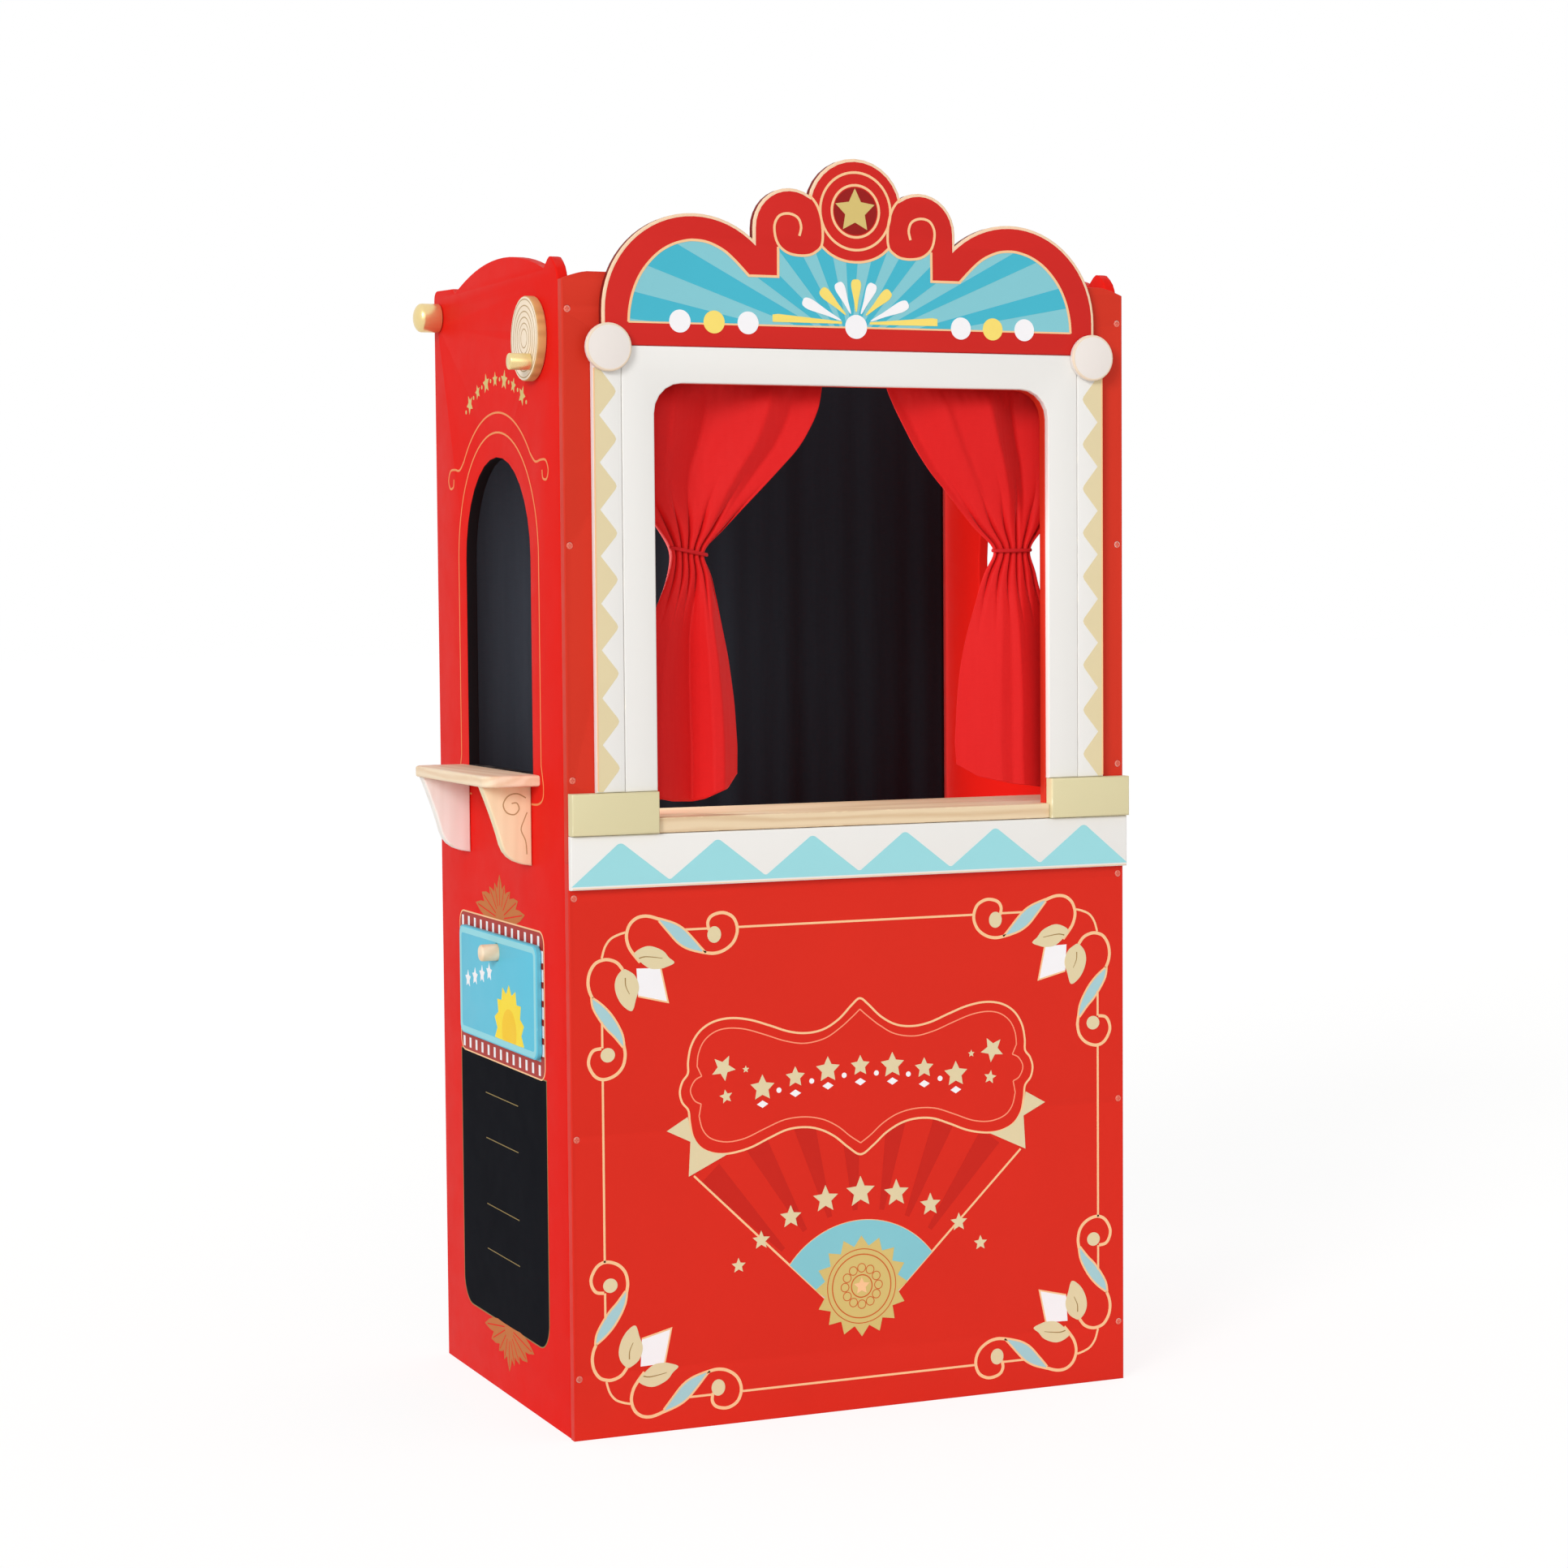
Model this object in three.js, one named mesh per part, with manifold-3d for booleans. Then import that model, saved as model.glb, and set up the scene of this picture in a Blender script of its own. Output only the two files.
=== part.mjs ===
// A free-standing wooden puppet theatre for children, open at the back.
// Two side panels with arched windows carry a lower and an upper front board. The upper board
// has the stage opening, dressed with a frame, pilasters, a crest, a fascia and corner blocks.
// Curtains hang on a rod behind the opening and a black backdrop hangs on a rod at the back.
// The left side has a ticket shelf, a crank and a picture board on a peg.
// X is to the audience's right, Y is away from the audience and Z is up. The origin is on the
// floor, in the middle of the carcass. Lengths are in millimetres.
import * as THREE from "three";
import { mergeVertices } from "three/addons/utils/BufferGeometryUtils.js";
import Module from "manifold-3d";

// Carcass
const width = 640;
const depth = 430;
const board = 12;
const seam = 0.3;
const overrun = 2;

// Front, from the floor up
const fasciaBottom = 567;
const fasciaHeight = 55;
const openingHeight = 458;
const railHeight = 37;
const shoulderRise = 74;
const shoulderDip = 8;
const shoulderDipLength = 28;

// Stage opening and the pieces laid round it
const sideMargin = 29;
const openingRadius = 31;
const overlay = 9;
const stileWidth = 35;
const pilasterWidth = 31;
const blockHeight = 43;
const blockThickness = 15;
const cornerDiscRadius = 24.5;
const cornerDiscThickness = 7;
const cornerDiscDrop = 2.5;

// Crest, with heights above its lower edge
const outerLobeRadius = 100.5;
const crestInset = 10.5;
const outerLobeHeight = 34.5;
const innerLobeRadius = 41.5;
const innerLobeOverlap = 22;
const innerLobeHeight = 123;
const middleLobeRadius = 54;
const middleLobeHeight = 143.5;

// Boards that lie flat inside
const sillThickness = 16;
const sillInside = 118;
const storageShelfHeight = 300;
const storageShelfSetback = 60;

// Top edge of a side panel: pairs of a distance behind its front edge and a height above the
// shoulder of the front board, then the hump and the ear at the back
const finialOutline = [
  [0, -8],
  [3, 0],
  [7, 6.5],
  [13, 12],
  [20, 16.5],
  [26, 17.5],
  [31, 15.5],
  [38, 10.5],
  [44, 7],
];
const humpFoot = 7.5;
const humpRise = 23;
const tailLength = 78;
const earOutline = [
  [5, 8.5],
  [10, 12.5],
];
const earRise = 15;
const earRadius = 10;

// Arched window in each side panel
const windowWidth = 216;
const windowBottom = 680;
const windowHeight = 332;

// Ticket shelf and its brackets
const ticketShelfThickness = 12;
const ticketShelfLength = 254;
const ticketShelfForward = 4;
const ticketShelfReach = 60;
const ticketShelfRadius = 14;
const bracketReach = 54;
const bracketHeight = 84;
const bracketThickness = 15;
const bracketSpacing = 209;
const bracketsBackward = 8;
const bracketWaistReachShare = 0.61;
const bracketWaistHeightShare = 0.27;
const bracketHollowShares = [0.72, 0.55];
const bracketHeelShares = [0.5, 0.03];

// Crank on the left side
const crankSetback = 87;
const crankDrop = 62;
const crankRadius = 45;
const crankThickness = 10;
const crankEdgeRadius = 1.5;
const axleRadius = 6;
const axleSocketDepth = 6;
const crankCapRadius = 13;
const crankCapThickness = 9;
const crankPegForward = 18;
const crankPegDrop = 25;
const crankPegRadius = 8.5;
const crankPegLength = 23;
const crankPegDome = 1.5;
const spigotRadius = 5;
const spigotLength = 5;
const runningClearance = 0.6;

// Backdrop and its rod
const backdropRodRadius = 9;
const backdropRodInset = 20;
const backdropRodDrop = 16;
const rodKnobRadius = 16;
const rodKnobLength = 29;
const rodKnobDome = 9;
const rodKnobSocket = 18;
const backdropMargin = 3;
const backdropDrop = 600;
const backdropWaveDepth = 3;
const backdropWaves = 7;

// Curtains. The pair hangs a little to one side. Shares across are of half the opening's width,
// from the middle of the pair.
const curtainRodRadius = 7;
const curtainRodSetback = 17;
const curtainRodAboveOpening = 23;
const rodCupRadius = 12;
const rodCupThickness = 9;
const rodCupSocket = 6;
const curtainPairInset = 14;
const clothThickness = 2;
const pocketWall = 1.8;
const pocketClearance = 0.5;
const curtainTopShares = [0.18, 1.19];
const curtainWaistShares = [0.76, 0.93];
const curtainHemShares = [0.58, 1.15];
const curtainHemAboveSill = 12;
const curtainWaistAboveSill = 272;
const curtainFolds = 4;
const curtainTopWaveDepth = 2;
const curtainBodyWaveDepth = 9;
const curtainWaistWaveDepth = 6.5;
const edgePowers = { innerSweep: 2, outerSweep: 1.5, flare: 3 };
const tiebackHeight = 6;
const tiebackThickness = 1.6;
const tiebackClearance = 0.6;
const tiebackInnerRadius = 2.5;

// Picture board and its peg
const pictureWidth = 262;
const pictureHeight = 120;
const pictureThickness = 6;
const pictureRadius = 10;
const pictureTop = 502;
const pictureStandoff = 1;
const picturePegBelowTop = 19;
const picturePegRadius = 9;
const picturePegProud = 25.5;
const picturePegDome = 1.5;
const picturePegTenon = 8;

// Screws through the front boards into the edges of the side panels
const screwsPerBoard = 3;
const screwHeadRadius = 3.5;
const screwHeadHeight = 2;
const screwShankRadius = 1.75;
const screwLength = 30;
const screwSink = 0.4;
const lowerScrewFromFloor = 64;
const lowerScrewBelowFascia = 9;
const upperScrewAboveSill = 56;
const upperScrewBelowShoulder = 38;

// Divisions of round and folded shapes
const arcSteps = 16;
const cornerSteps = 5;
const holeSteps = 16;
const turnedSteps = 32;
const rodSteps = 20;
const screwSteps = 8;
const domeSteps = 4;
const stepsPerFold = 6;
const rowsAboveWaist = 8;
const rowsBelowWaist = 5;
const stepsPerWave = 4;
const backdropRows = 4;

// Places worked out from the sizes above
const halfWidth = width / 2;
const innerHalf = halfWidth - board;
const frontFace = -depth / 2;
const boardBack = frontFace + board;
const backEdge = depth / 2;
const sillUnderside = fasciaBottom + fasciaHeight;
const sillTop = sillUnderside + sillThickness;
const openingTop = sillUnderside + openingHeight;
const crestBottom = openingTop + railHeight;
const shoulder = crestBottom + shoulderRise;
const boardJoint = fasciaBottom + fasciaHeight / 2;
const openingHalf = halfWidth - sideMargin - pilasterWidth - stileWidth;
const frameOuter = openingHalf + stileWidth;
const pilasterOuter = frameOuter + pilasterWidth;
const blockTop = sillUnderside + blockHeight;
const crankY = frontFace + crankSetback;
const crankZ = shoulder - crankDrop;
const backdropRodY = backEdge - backdropRodInset;
const backdropRodZ = shoulder - backdropRodDrop;
const curtainRodY = boardBack + curtainRodSetback;
const curtainRodZ = openingTop + curtainRodAboveOpening;
const curtainHem = sillTop + curtainHemAboveSill;
const curtainWaist = sillTop + curtainWaistAboveSill;
const picturePegZ = pictureTop - picturePegBelowTop;

const wasm = await Module();
wasm.setup();

// Finishes, one look for each kind of surface
const finishes = {
  redPaint: { color: 0xe53728, roughness: 0.42, metalness: 0 },
  whitePaint: { color: 0xeeece8, roughness: 0.45, metalness: 0 },
  khakiPaint: { color: 0xddd3a3, roughness: 0.45, metalness: 0 },
  bluePaint: { color: 0x58bfd8, roughness: 0.4, metalness: 0 },
  naturalWood: { color: 0xebcfa5, roughness: 0.55, metalness: 0 },
  goldPaint: { color: 0xb8964a, roughness: 0.32, metalness: 0.75 },
  redCloth: { color: 0xd21f1f, roughness: 0.85, metalness: 0 },
  blackCloth: { color: 0x17191c, roughness: 0.95, metalness: 0 },
  screwMetal: { color: 0xd96a58, roughness: 0.4, metalness: 0.3 },
};

// Turns that lay a flat outline against the front or against a side
const facingFront = new THREE.Euler(Math.PI / 2, 0, 0);
const facingSide = new THREE.Euler().setFromQuaternion(new THREE.Quaternion(0.5, 0.5, 0.5, 0.5));
const pointingLeft = new THREE.Euler(0, 0, Math.PI / 2);
const pointingRight = new THREE.Euler(0, 0, -Math.PI / 2);

function piece(name, finish, geometry, place = [0, 0, 0], turn = null) {
  const mesh = new THREE.Mesh(geometry, new THREE.MeshStandardMaterial(finishes[finish]));
  mesh.name = name;
  mesh.position.set(...place);
  if (turn) mesh.rotation.copy(turn);
  return mesh;
}

// A closed geometry as a solid, and back again
function solid(geometry) {
  const bare = geometry.clone();
  bare.deleteAttribute("normal");
  bare.deleteAttribute("uv");
  const merged = mergeVertices(bare);
  const mesh = new wasm.Mesh({
    numProp: 3,
    vertProperties: merged.attributes.position.array,
    triVerts: new Uint32Array(merged.index.array),
  });
  return new wasm.Manifold(mesh);
}

function geometryOf(body) {
  const mesh = body.getMesh();
  const geometry = new THREE.BufferGeometry();
  geometry.setAttribute("position", new THREE.BufferAttribute(mesh.vertProperties, mesh.numProp));
  geometry.setIndex(new THREE.BufferAttribute(mesh.triVerts, 1));
  geometry.computeVertexNormals();
  return geometry;
}

function cut(geometry, tools) {
  const rest = tools.reduce((body, tool) => body.subtract(solid(tool)), solid(geometry));
  return geometryOf(rest);
}

function join(geometries) {
  const [first, ...others] = geometries.map(solid);
  return geometryOf(others.reduce((body, other) => body.add(other), first));
}

// Outlines
function addArc(path, x, y, radius, from, to, steps) {
  for (let i = 0; i <= steps; i++) {
    const angle = from + ((to - from) * i) / steps;
    path.lineTo(x + radius * Math.cos(angle), y + radius * Math.sin(angle));
  }
}

function circle(x, y, radius, steps) {
  const path = new THREE.Shape();
  path.moveTo(x + radius, y);
  addArc(path, x, y, radius, 0, 2 * Math.PI, steps);
  return path;
}

function rectangle(left, right, bottom, top) {
  const shape = new THREE.Shape();
  shape.moveTo(left, bottom);
  shape.lineTo(right, bottom);
  shape.lineTo(right, top);
  shape.lineTo(left, top);
  return shape;
}

function roundedRectangle(left, right, bottom, top, radius) {
  const shape = new THREE.Shape();
  shape.moveTo(left + radius, bottom);
  addArc(shape, right - radius, bottom + radius, radius, -Math.PI / 2, 0, cornerSteps);
  addArc(shape, right - radius, top - radius, radius, 0, Math.PI / 2, cornerSteps);
  addArc(shape, left + radius, top - radius, radius, Math.PI / 2, Math.PI, cornerSteps);
  addArc(shape, left + radius, bottom + radius, radius, Math.PI, 1.5 * Math.PI, cornerSteps);
  return shape;
}

function slab(shape, thickness, curveSegments = cornerSteps) {
  return new THREE.ExtrudeGeometry(shape, { depth: thickness, bevelEnabled: false, curveSegments });
}

// A round piece turned about its own Y, from a profile of [radius, height] points
function turned(profile, steps) {
  return new THREE.LatheGeometry(
    profile.map(([radius, height]) => new THREE.Vector2(radius, height)),
    steps,
  );
}

// Profile points of a rounded end, from its rim at the given height in to the axis or a flat
function domePoints(radius, height, dome, rise) {
  const points = [];
  for (let i = 0; i <= domeSteps; i++) {
    const angle = (Math.PI / 2) * (i / domeSteps);
    points.push([radius - dome + dome * Math.cos(angle), height + rise * Math.sin(angle)]);
  }
  return points;
}

// Screws
function screwHeights(lowest, highest) {
  const pitch = (highest - lowest) / (screwsPerBoard - 1);
  return Array.from({ length: screwsPerBoard }, (_, i) => lowest + pitch * i);
}

const lowerScrewHeights = screwHeights(lowerScrewFromFloor, fasciaBottom - lowerScrewBelowFascia);
const upperScrewHeights = screwHeights(
  sillUnderside + upperScrewAboveSill,
  shoulder - upperScrewBelowShoulder,
);
const allScrewHeights = [...lowerScrewHeights, ...upperScrewHeights];

// A countersunk screw along Y, its head's face at zero and its point at the far end
function screwProfile(clearance, length) {
  return [
    [0, 0],
    [screwHeadRadius + clearance, 0],
    [screwShankRadius + clearance, screwHeadHeight + clearance],
    [screwShankRadius + clearance, length],
    [0, length],
  ];
}

// The hole for one screw, in world axes, from outside the board's face into the panel's edge
function screwHole(x, z) {
  const profile = screwProfile(seam, screwLength + seam);
  const mouth = [
    [0, -overrun],
    [screwHeadRadius + seam, -overrun],
  ];
  const hole = turned([...mouth, ...profile.slice(1)], screwSteps);
  return hole.translate(x, frontFace + screwSink, z);
}

const screwX = halfWidth - board / 2;

function screws() {
  const group = new THREE.Group();
  for (const [side, sign] of [["left", -1], ["right", 1]]) {
    allScrewHeights.forEach((height, i) => {
      const geometry = turned(screwProfile(0, screwLength), screwSteps);
      const place = [sign * screwX, frontFace + screwSink, height];
      group.add(piece(side + "_panel_screw_" + (i + 1), "screwMetal", geometry, place));
    });
  }
  return group;
}

// World axes to the local axes of a piece that is turned to face the front or the side
function toFront(geometry, backY) {
  return geometry.translate(0, -backY, 0).rotateX(-Math.PI / 2);
}

function toSide(geometry, x) {
  const back = new THREE.Matrix4().makeRotationFromEuler(facingSide).invert();
  return geometry.translate(-x, 0, 0).applyMatrix4(back);
}

// Side panels
function sideOutline() {
  const front = boardBack + seam;
  const shape = new THREE.Shape();
  shape.moveTo(front, 0);
  for (const [setback, rise] of finialOutline) {
    shape.lineTo(front + setback, shoulder + rise);
  }
  const humpStart = front + finialOutline.at(-1)[0];
  const humpEnd = backEdge - tailLength;
  const half = (humpEnd - humpStart) / 2;
  const radius = (half * half + humpRise * humpRise) / (2 * humpRise);
  const middle = humpStart + half;
  const reach = Math.asin(half / radius);
  const centre = shoulder + humpFoot + humpRise - radius;
  const up = Math.PI / 2;
  addArc(shape, middle, centre, radius, up + reach, up - reach, arcSteps);
  for (const [setback, rise] of earOutline) {
    shape.lineTo(humpEnd + setback, shoulder + rise);
  }
  const ear = shoulder + earRise - earRadius;
  addArc(shape, backEdge - earRadius, ear, earRadius, up, 0, cornerSteps);
  shape.lineTo(backEdge, 0);
  return shape;
}

function archedWindow() {
  const path = new THREE.Path();
  const half = windowWidth / 2;
  path.moveTo(-half, windowBottom);
  path.lineTo(half, windowBottom);
  addArc(path, 0, windowBottom + windowHeight - half, half, 0, Math.PI, arcSteps);
  return path;
}

function sidePanel(name, sign, extraHoles) {
  const left = sign < 0 ? -halfWidth : innerHalf;
  const shape = sideOutline();
  const rodHole = circle(backdropRodY, backdropRodZ, backdropRodRadius + runningClearance, holeSteps);
  shape.holes.push(archedWindow(), rodHole, ...extraHoles);
  const holes = allScrewHeights.map((height) => toSide(screwHole(sign * screwX, height), left));
  return piece(name, "redPaint", cut(slab(shape, board), holes), [left, 0, 0], facingSide);
}

// Front boards
function screwedBoard(name, shape, heights) {
  const holes = heights.flatMap((height) => [
    toFront(screwHole(-screwX, height), boardBack),
    toFront(screwHole(screwX, height), boardBack),
  ]);
  const geometry = cut(slab(shape, board), holes);
  return piece(name, "redPaint", geometry, [0, boardBack, 0], facingFront);
}

function lowerFrontBoard() {
  const shape = rectangle(-halfWidth, halfWidth, 0, boardJoint - seam / 2);
  return screwedBoard("lower_front_board", shape, lowerScrewHeights);
}

function openingPath(bottom) {
  const path = new THREE.Path();
  const inner = openingHalf - openingRadius;
  path.moveTo(-openingHalf, bottom);
  path.lineTo(openingHalf, bottom);
  addArc(path, inner, openingTop - openingRadius, openingRadius, 0, Math.PI / 2, cornerSteps);
  addArc(path, -inner, openingTop - openingRadius, openingRadius, Math.PI / 2, Math.PI, cornerSteps);
  return path;
}

function upperFrontBoard() {
  const shape = new THREE.Shape();
  shape.moveTo(-halfWidth, boardJoint + seam / 2);
  shape.lineTo(halfWidth, boardJoint + seam / 2);
  const dips = Array.from({ length: cornerSteps + 1 }, (_, step) => step / cornerSteps);
  for (const sign of [1, -1]) {
    for (const share of sign > 0 ? [...dips].reverse() : dips) {
      const x = halfWidth - shoulderDipLength * (1 - share);
      shape.lineTo(sign * x, shoulder - shoulderDip * share ** 1.5);
    }
  }
  shape.holes.push(openingPath(sillUnderside));
  return screwedBoard("upper_front_board", shape, upperScrewHeights);
}

// Pieces laid on the front, each a flat outline on the board's face
function laidOn(name, finish, shape, thickness) {
  return piece(name, finish, slab(shape, thickness), [0, frontFace - seam, 0], facingFront);
}

function stageFrame() {
  const shape = new THREE.Shape();
  const bottom = blockTop + seam;
  const inner = openingHalf - openingRadius;
  const bend = openingTop - openingRadius;
  shape.moveTo(-frameOuter, bottom);
  shape.lineTo(-openingHalf, bottom);
  addArc(shape, -inner, bend, openingRadius, Math.PI, Math.PI / 2, cornerSteps);
  addArc(shape, inner, bend, openingRadius, Math.PI / 2, 0, cornerSteps);
  shape.lineTo(openingHalf, bottom);
  shape.lineTo(frameOuter, bottom);
  shape.lineTo(frameOuter, crestBottom);
  shape.lineTo(-frameOuter, crestBottom);
  return laidOn("stage_frame", "whitePaint", shape, overlay);
}

function pilaster(name, sign) {
  const near = sign * (frameOuter + seam);
  const far = sign * pilasterOuter;
  const shape = rectangle(Math.min(near, far), Math.max(near, far), blockTop + seam, crestBottom);
  return laidOn(name, "khakiPaint", shape, overlay);
}

function plinthBlock(name, sign) {
  const near = sign * (openingHalf + seam);
  const far = sign * halfWidth;
  const shape = rectangle(Math.min(near, far), Math.max(near, far), sillUnderside + seam, blockTop);
  return laidOn(name, "khakiPaint", shape, blockThickness);
}

function cornerDisc(name, sign) {
  const x = sign * (frameOuter + pilasterWidth / 2);
  const shape = circle(x, crestBottom - cornerDiscDrop, cornerDiscRadius, turnedSteps);
  const back = frontFace - seam - overlay - seam;
  return piece(name, "whitePaint", slab(shape, cornerDiscThickness), [0, back, 0], facingFront);
}

function zigzagFascia() {
  const shape = rectangle(-halfWidth, halfWidth, fasciaBottom, sillUnderside - seam);
  return laidOn("zigzag_fascia", "whitePaint", shape, overlay);
}

// The crest is a row of round lobes over a straight foot
function crest() {
  const bottom = crestBottom + seam;
  const outerEdge = pilasterOuter - crestInset;
  const innerEdge = middleLobeRadius + innerLobeRadius - innerLobeOverlap;
  const lobes = [
    circle(0, crestBottom + middleLobeHeight, middleLobeRadius, turnedSteps),
    rectangle(-outerEdge, outerEdge, bottom, crestBottom + outerLobeHeight),
    rectangle(-innerEdge, innerEdge, bottom, crestBottom + innerLobeHeight),
  ];
  for (const sign of [-1, 1]) {
    const inner = sign * innerEdge;
    const side = sign * (innerEdge + innerLobeRadius);
    const top = crestBottom + innerLobeHeight;
    const outer = sign * (outerEdge - outerLobeRadius);
    lobes.push(circle(outer, crestBottom + outerLobeHeight, outerLobeRadius, 2 * turnedSteps));
    lobes.push(circle(inner, top, innerLobeRadius, turnedSteps));
    lobes.push(rectangle(Math.min(inner, side), Math.max(inner, side), bottom, top));
  }
  const body = join(lobes.map((shape) => slab(shape, overlay)));
  const lowest = bottom - outerLobeRadius;
  const below = slab(rectangle(-width, width, lowest, bottom), overlay + 2 * overrun);
  below.translate(0, 0, -overrun);
  return piece("crest_board", "redPaint", cut(body, [below]), [0, frontFace - seam, 0], facingFront);
}

// Boards that lie flat
function sillBoard() {
  const tongue = openingHalf - seam;
  const wide = innerHalf - seam;
  const front = frontFace - seam - overlay;
  const inside = boardBack + seam;
  const back = boardBack + sillInside;
  const shape = new THREE.Shape();
  shape.moveTo(-tongue, front);
  shape.lineTo(tongue, front);
  shape.lineTo(tongue, inside);
  shape.lineTo(wide, inside);
  shape.lineTo(wide, back);
  shape.lineTo(-wide, back);
  shape.lineTo(-wide, inside);
  shape.lineTo(-tongue, inside);
  const thickness = sillThickness - seam;
  return piece("stage_sill", "naturalWood", slab(shape, thickness), [0, 0, sillUnderside + seam]);
}

function flatBoard(name, height, back) {
  const wide = innerHalf - seam;
  const shape = rectangle(-wide, wide, boardBack + seam, back);
  return piece(name, "naturalWood", slab(shape, board), [0, 0, height]);
}

// Ticket shelf on two brackets, outside the left window
function ticketShelf() {
  const front = -ticketShelfForward - ticketShelfLength / 2;
  const rear = front + ticketShelfLength;
  const near = -halfWidth - seam;
  const far = near - ticketShelfReach;
  const radius = ticketShelfRadius;
  const shape = new THREE.Shape();
  shape.moveTo(near, front);
  shape.lineTo(near, rear);
  addArc(shape, far + radius, rear - radius, radius, Math.PI / 2, Math.PI, cornerSteps);
  addArc(shape, far + radius, front + radius, radius, Math.PI, 1.5 * Math.PI, cornerSteps);
  const bottom = windowBottom - ticketShelfThickness;
  return piece("ticket_shelf", "naturalWood", slab(shape, ticketShelfThickness), [0, 0, bottom]);
}

function ticketBracket(name, y) {
  const near = -halfWidth - seam;
  const top = windowBottom - ticketShelfThickness - seam;
  const foot = top - bracketHeight;
  const at = ([reach, height]) => [near - reach * bracketReach, foot + height * bracketHeight];
  const shape = new THREE.Shape();
  shape.moveTo(near, top);
  shape.lineTo(...at([1, 1]));
  const waist = at([bracketWaistReachShare, bracketWaistHeightShare]);
  shape.quadraticCurveTo(...at(bracketHollowShares), ...waist);
  shape.quadraticCurveTo(...at(bracketHeelShares), near, foot);
  const back = y + bracketThickness / 2;
  return piece(name, "naturalWood", slab(shape, bracketThickness), [0, back, 0], facingFront);
}

// Crank: a wooden disc and a gold peg on an axle through the left panel, held by a cap inside
function crank() {
  const group = new THREE.Group();
  group.position.set(-halfWidth, crankY, crankZ);
  const socket = axleRadius + seam;
  const rim = crankThickness - crankEdgeRadius;
  const discProfile = [
    [0, axleSocketDepth],
    [socket, axleSocketDepth],
    [socket, 0],
    [crankRadius, 0],
    ...domePoints(crankRadius, rim, crankEdgeRadius, crankEdgeRadius),
    [0, crankThickness],
  ];
  const disc = turned(discProfile, turnedSteps);
  const pegHole = new THREE.CylinderGeometry(
    spigotRadius + seam,
    spigotRadius + seam,
    spigotLength + seam + overrun,
    holeSteps,
  );
  pegHole.translate(0, crankThickness - (spigotLength + seam - overrun) / 2, 0);
  const pegAt = new THREE.Vector3(0, -crankPegForward, -crankPegDrop);
  const local = pegAt.clone().applyEuler(pointingRight);
  pegHole.translate(local.x, 0, local.z);
  const discPlace = [-runningClearance, 0, 0];
  group.add(piece("crank_disc", "naturalWood", cut(disc, [pegHole]), discPlace, pointingLeft));

  const pegRim = crankPegLength - crankPegDome;
  const pegProfile = [
    [0, -spigotLength],
    [spigotRadius, -spigotLength],
    [spigotRadius, 0],
    [crankPegRadius, 0],
    ...domePoints(crankPegRadius, pegRim, crankPegDome, crankPegDome),
    [0, crankPegLength],
  ];
  const pegPlace = [discPlace[0] - crankThickness - seam, pegAt.y, pegAt.z];
  group.add(piece("crank_peg", "goldPaint", turned(pegProfile, rodSteps), pegPlace, pointingLeft));

  const outerEnd = runningClearance + axleSocketDepth - seam;
  const innerEnd = board + runningClearance + axleSocketDepth - seam;
  const axle = new THREE.CylinderGeometry(axleRadius, axleRadius, outerEnd + innerEnd, rodSteps);
  const axlePlace = [(innerEnd - outerEnd) / 2, 0, 0];
  group.add(piece("crank_axle", "naturalWood", axle, axlePlace, pointingLeft));

  const capRim = crankCapThickness - crankEdgeRadius;
  const capProfile = [
    [0, axleSocketDepth],
    [socket, axleSocketDepth],
    [socket, 0],
    [crankCapRadius, 0],
    ...domePoints(crankCapRadius, capRim, crankEdgeRadius, crankEdgeRadius),
    [0, crankCapThickness],
  ];
  const capPlace = [board + runningClearance, 0, 0];
  group.add(piece("crank_cap", "naturalWood", turned(capProfile, rodSteps), capPlace, pointingRight));
  return group;
}

// A sheet of hanging cloth, with one row of points at each level from the top down. The place
// function gives its middle surface, and it is equally thick along Y.
function hangingSheet(columns, levels, place) {
  const rows = levels.length - 1;
  const points = [];
  const faces = [];
  const count = (columns + 1) * (rows + 1);
  for (const side of [-1, 1]) {
    for (let row = 0; row <= rows; row++) {
      for (let column = 0; column <= columns; column++) {
        const [x, y, z] = place(column / columns, levels[row]);
        points.push(x, y + (side * clothThickness) / 2, z);
      }
    }
  }
  const at = (column, row, back) => back * count + row * (columns + 1) + column;
  const quad = (a, b, c, d) => faces.push(a, b, c, a, c, d);
  for (let row = 0; row < rows; row++) {
    for (let column = 0; column < columns; column++) {
      const next = column + 1;
      quad(at(column, row, 0), at(column, row + 1, 0), at(next, row + 1, 0), at(next, row, 0));
      quad(at(column, row, 1), at(next, row, 1), at(next, row + 1, 1), at(column, row + 1, 1));
    }
    quad(at(0, row, 0), at(0, row, 1), at(0, row + 1, 1), at(0, row + 1, 0));
    quad(at(columns, row, 0), at(columns, row + 1, 0), at(columns, row + 1, 1), at(columns, row, 1));
  }
  for (let column = 0; column < columns; column++) {
    const next = column + 1;
    quad(at(column, 0, 0), at(next, 0, 0), at(next, 0, 1), at(column, 0, 1));
    quad(at(column, rows, 0), at(column, rows, 1), at(next, rows, 1), at(next, rows, 0));
  }
  const geometry = new THREE.BufferGeometry();
  geometry.setAttribute("position", new THREE.Float32BufferAttribute(points, 3));
  geometry.setIndex(faces);
  geometry.computeVertexNormals();
  return geometry;
}

// The sewn pocket that a rod along X passes through
function rodPocket(rodRadius, from, to, y, z) {
  const inner = rodRadius + pocketClearance;
  const ring = circle(y, z, inner + pocketWall, holeSteps);
  ring.holes.push(circle(y, z, inner, holeSteps));
  const matrix = new THREE.Matrix4().makeRotationFromEuler(facingSide);
  return slab(ring, to - from).applyMatrix4(matrix).translate(from, 0, 0);
}

const mix = (a, b, share) => a + (b - a) * share;

function evenLevels(from, to, rows) {
  return Array.from({ length: rows + 1 }, (_, row) => mix(from, to, row / rows));
}

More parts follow.
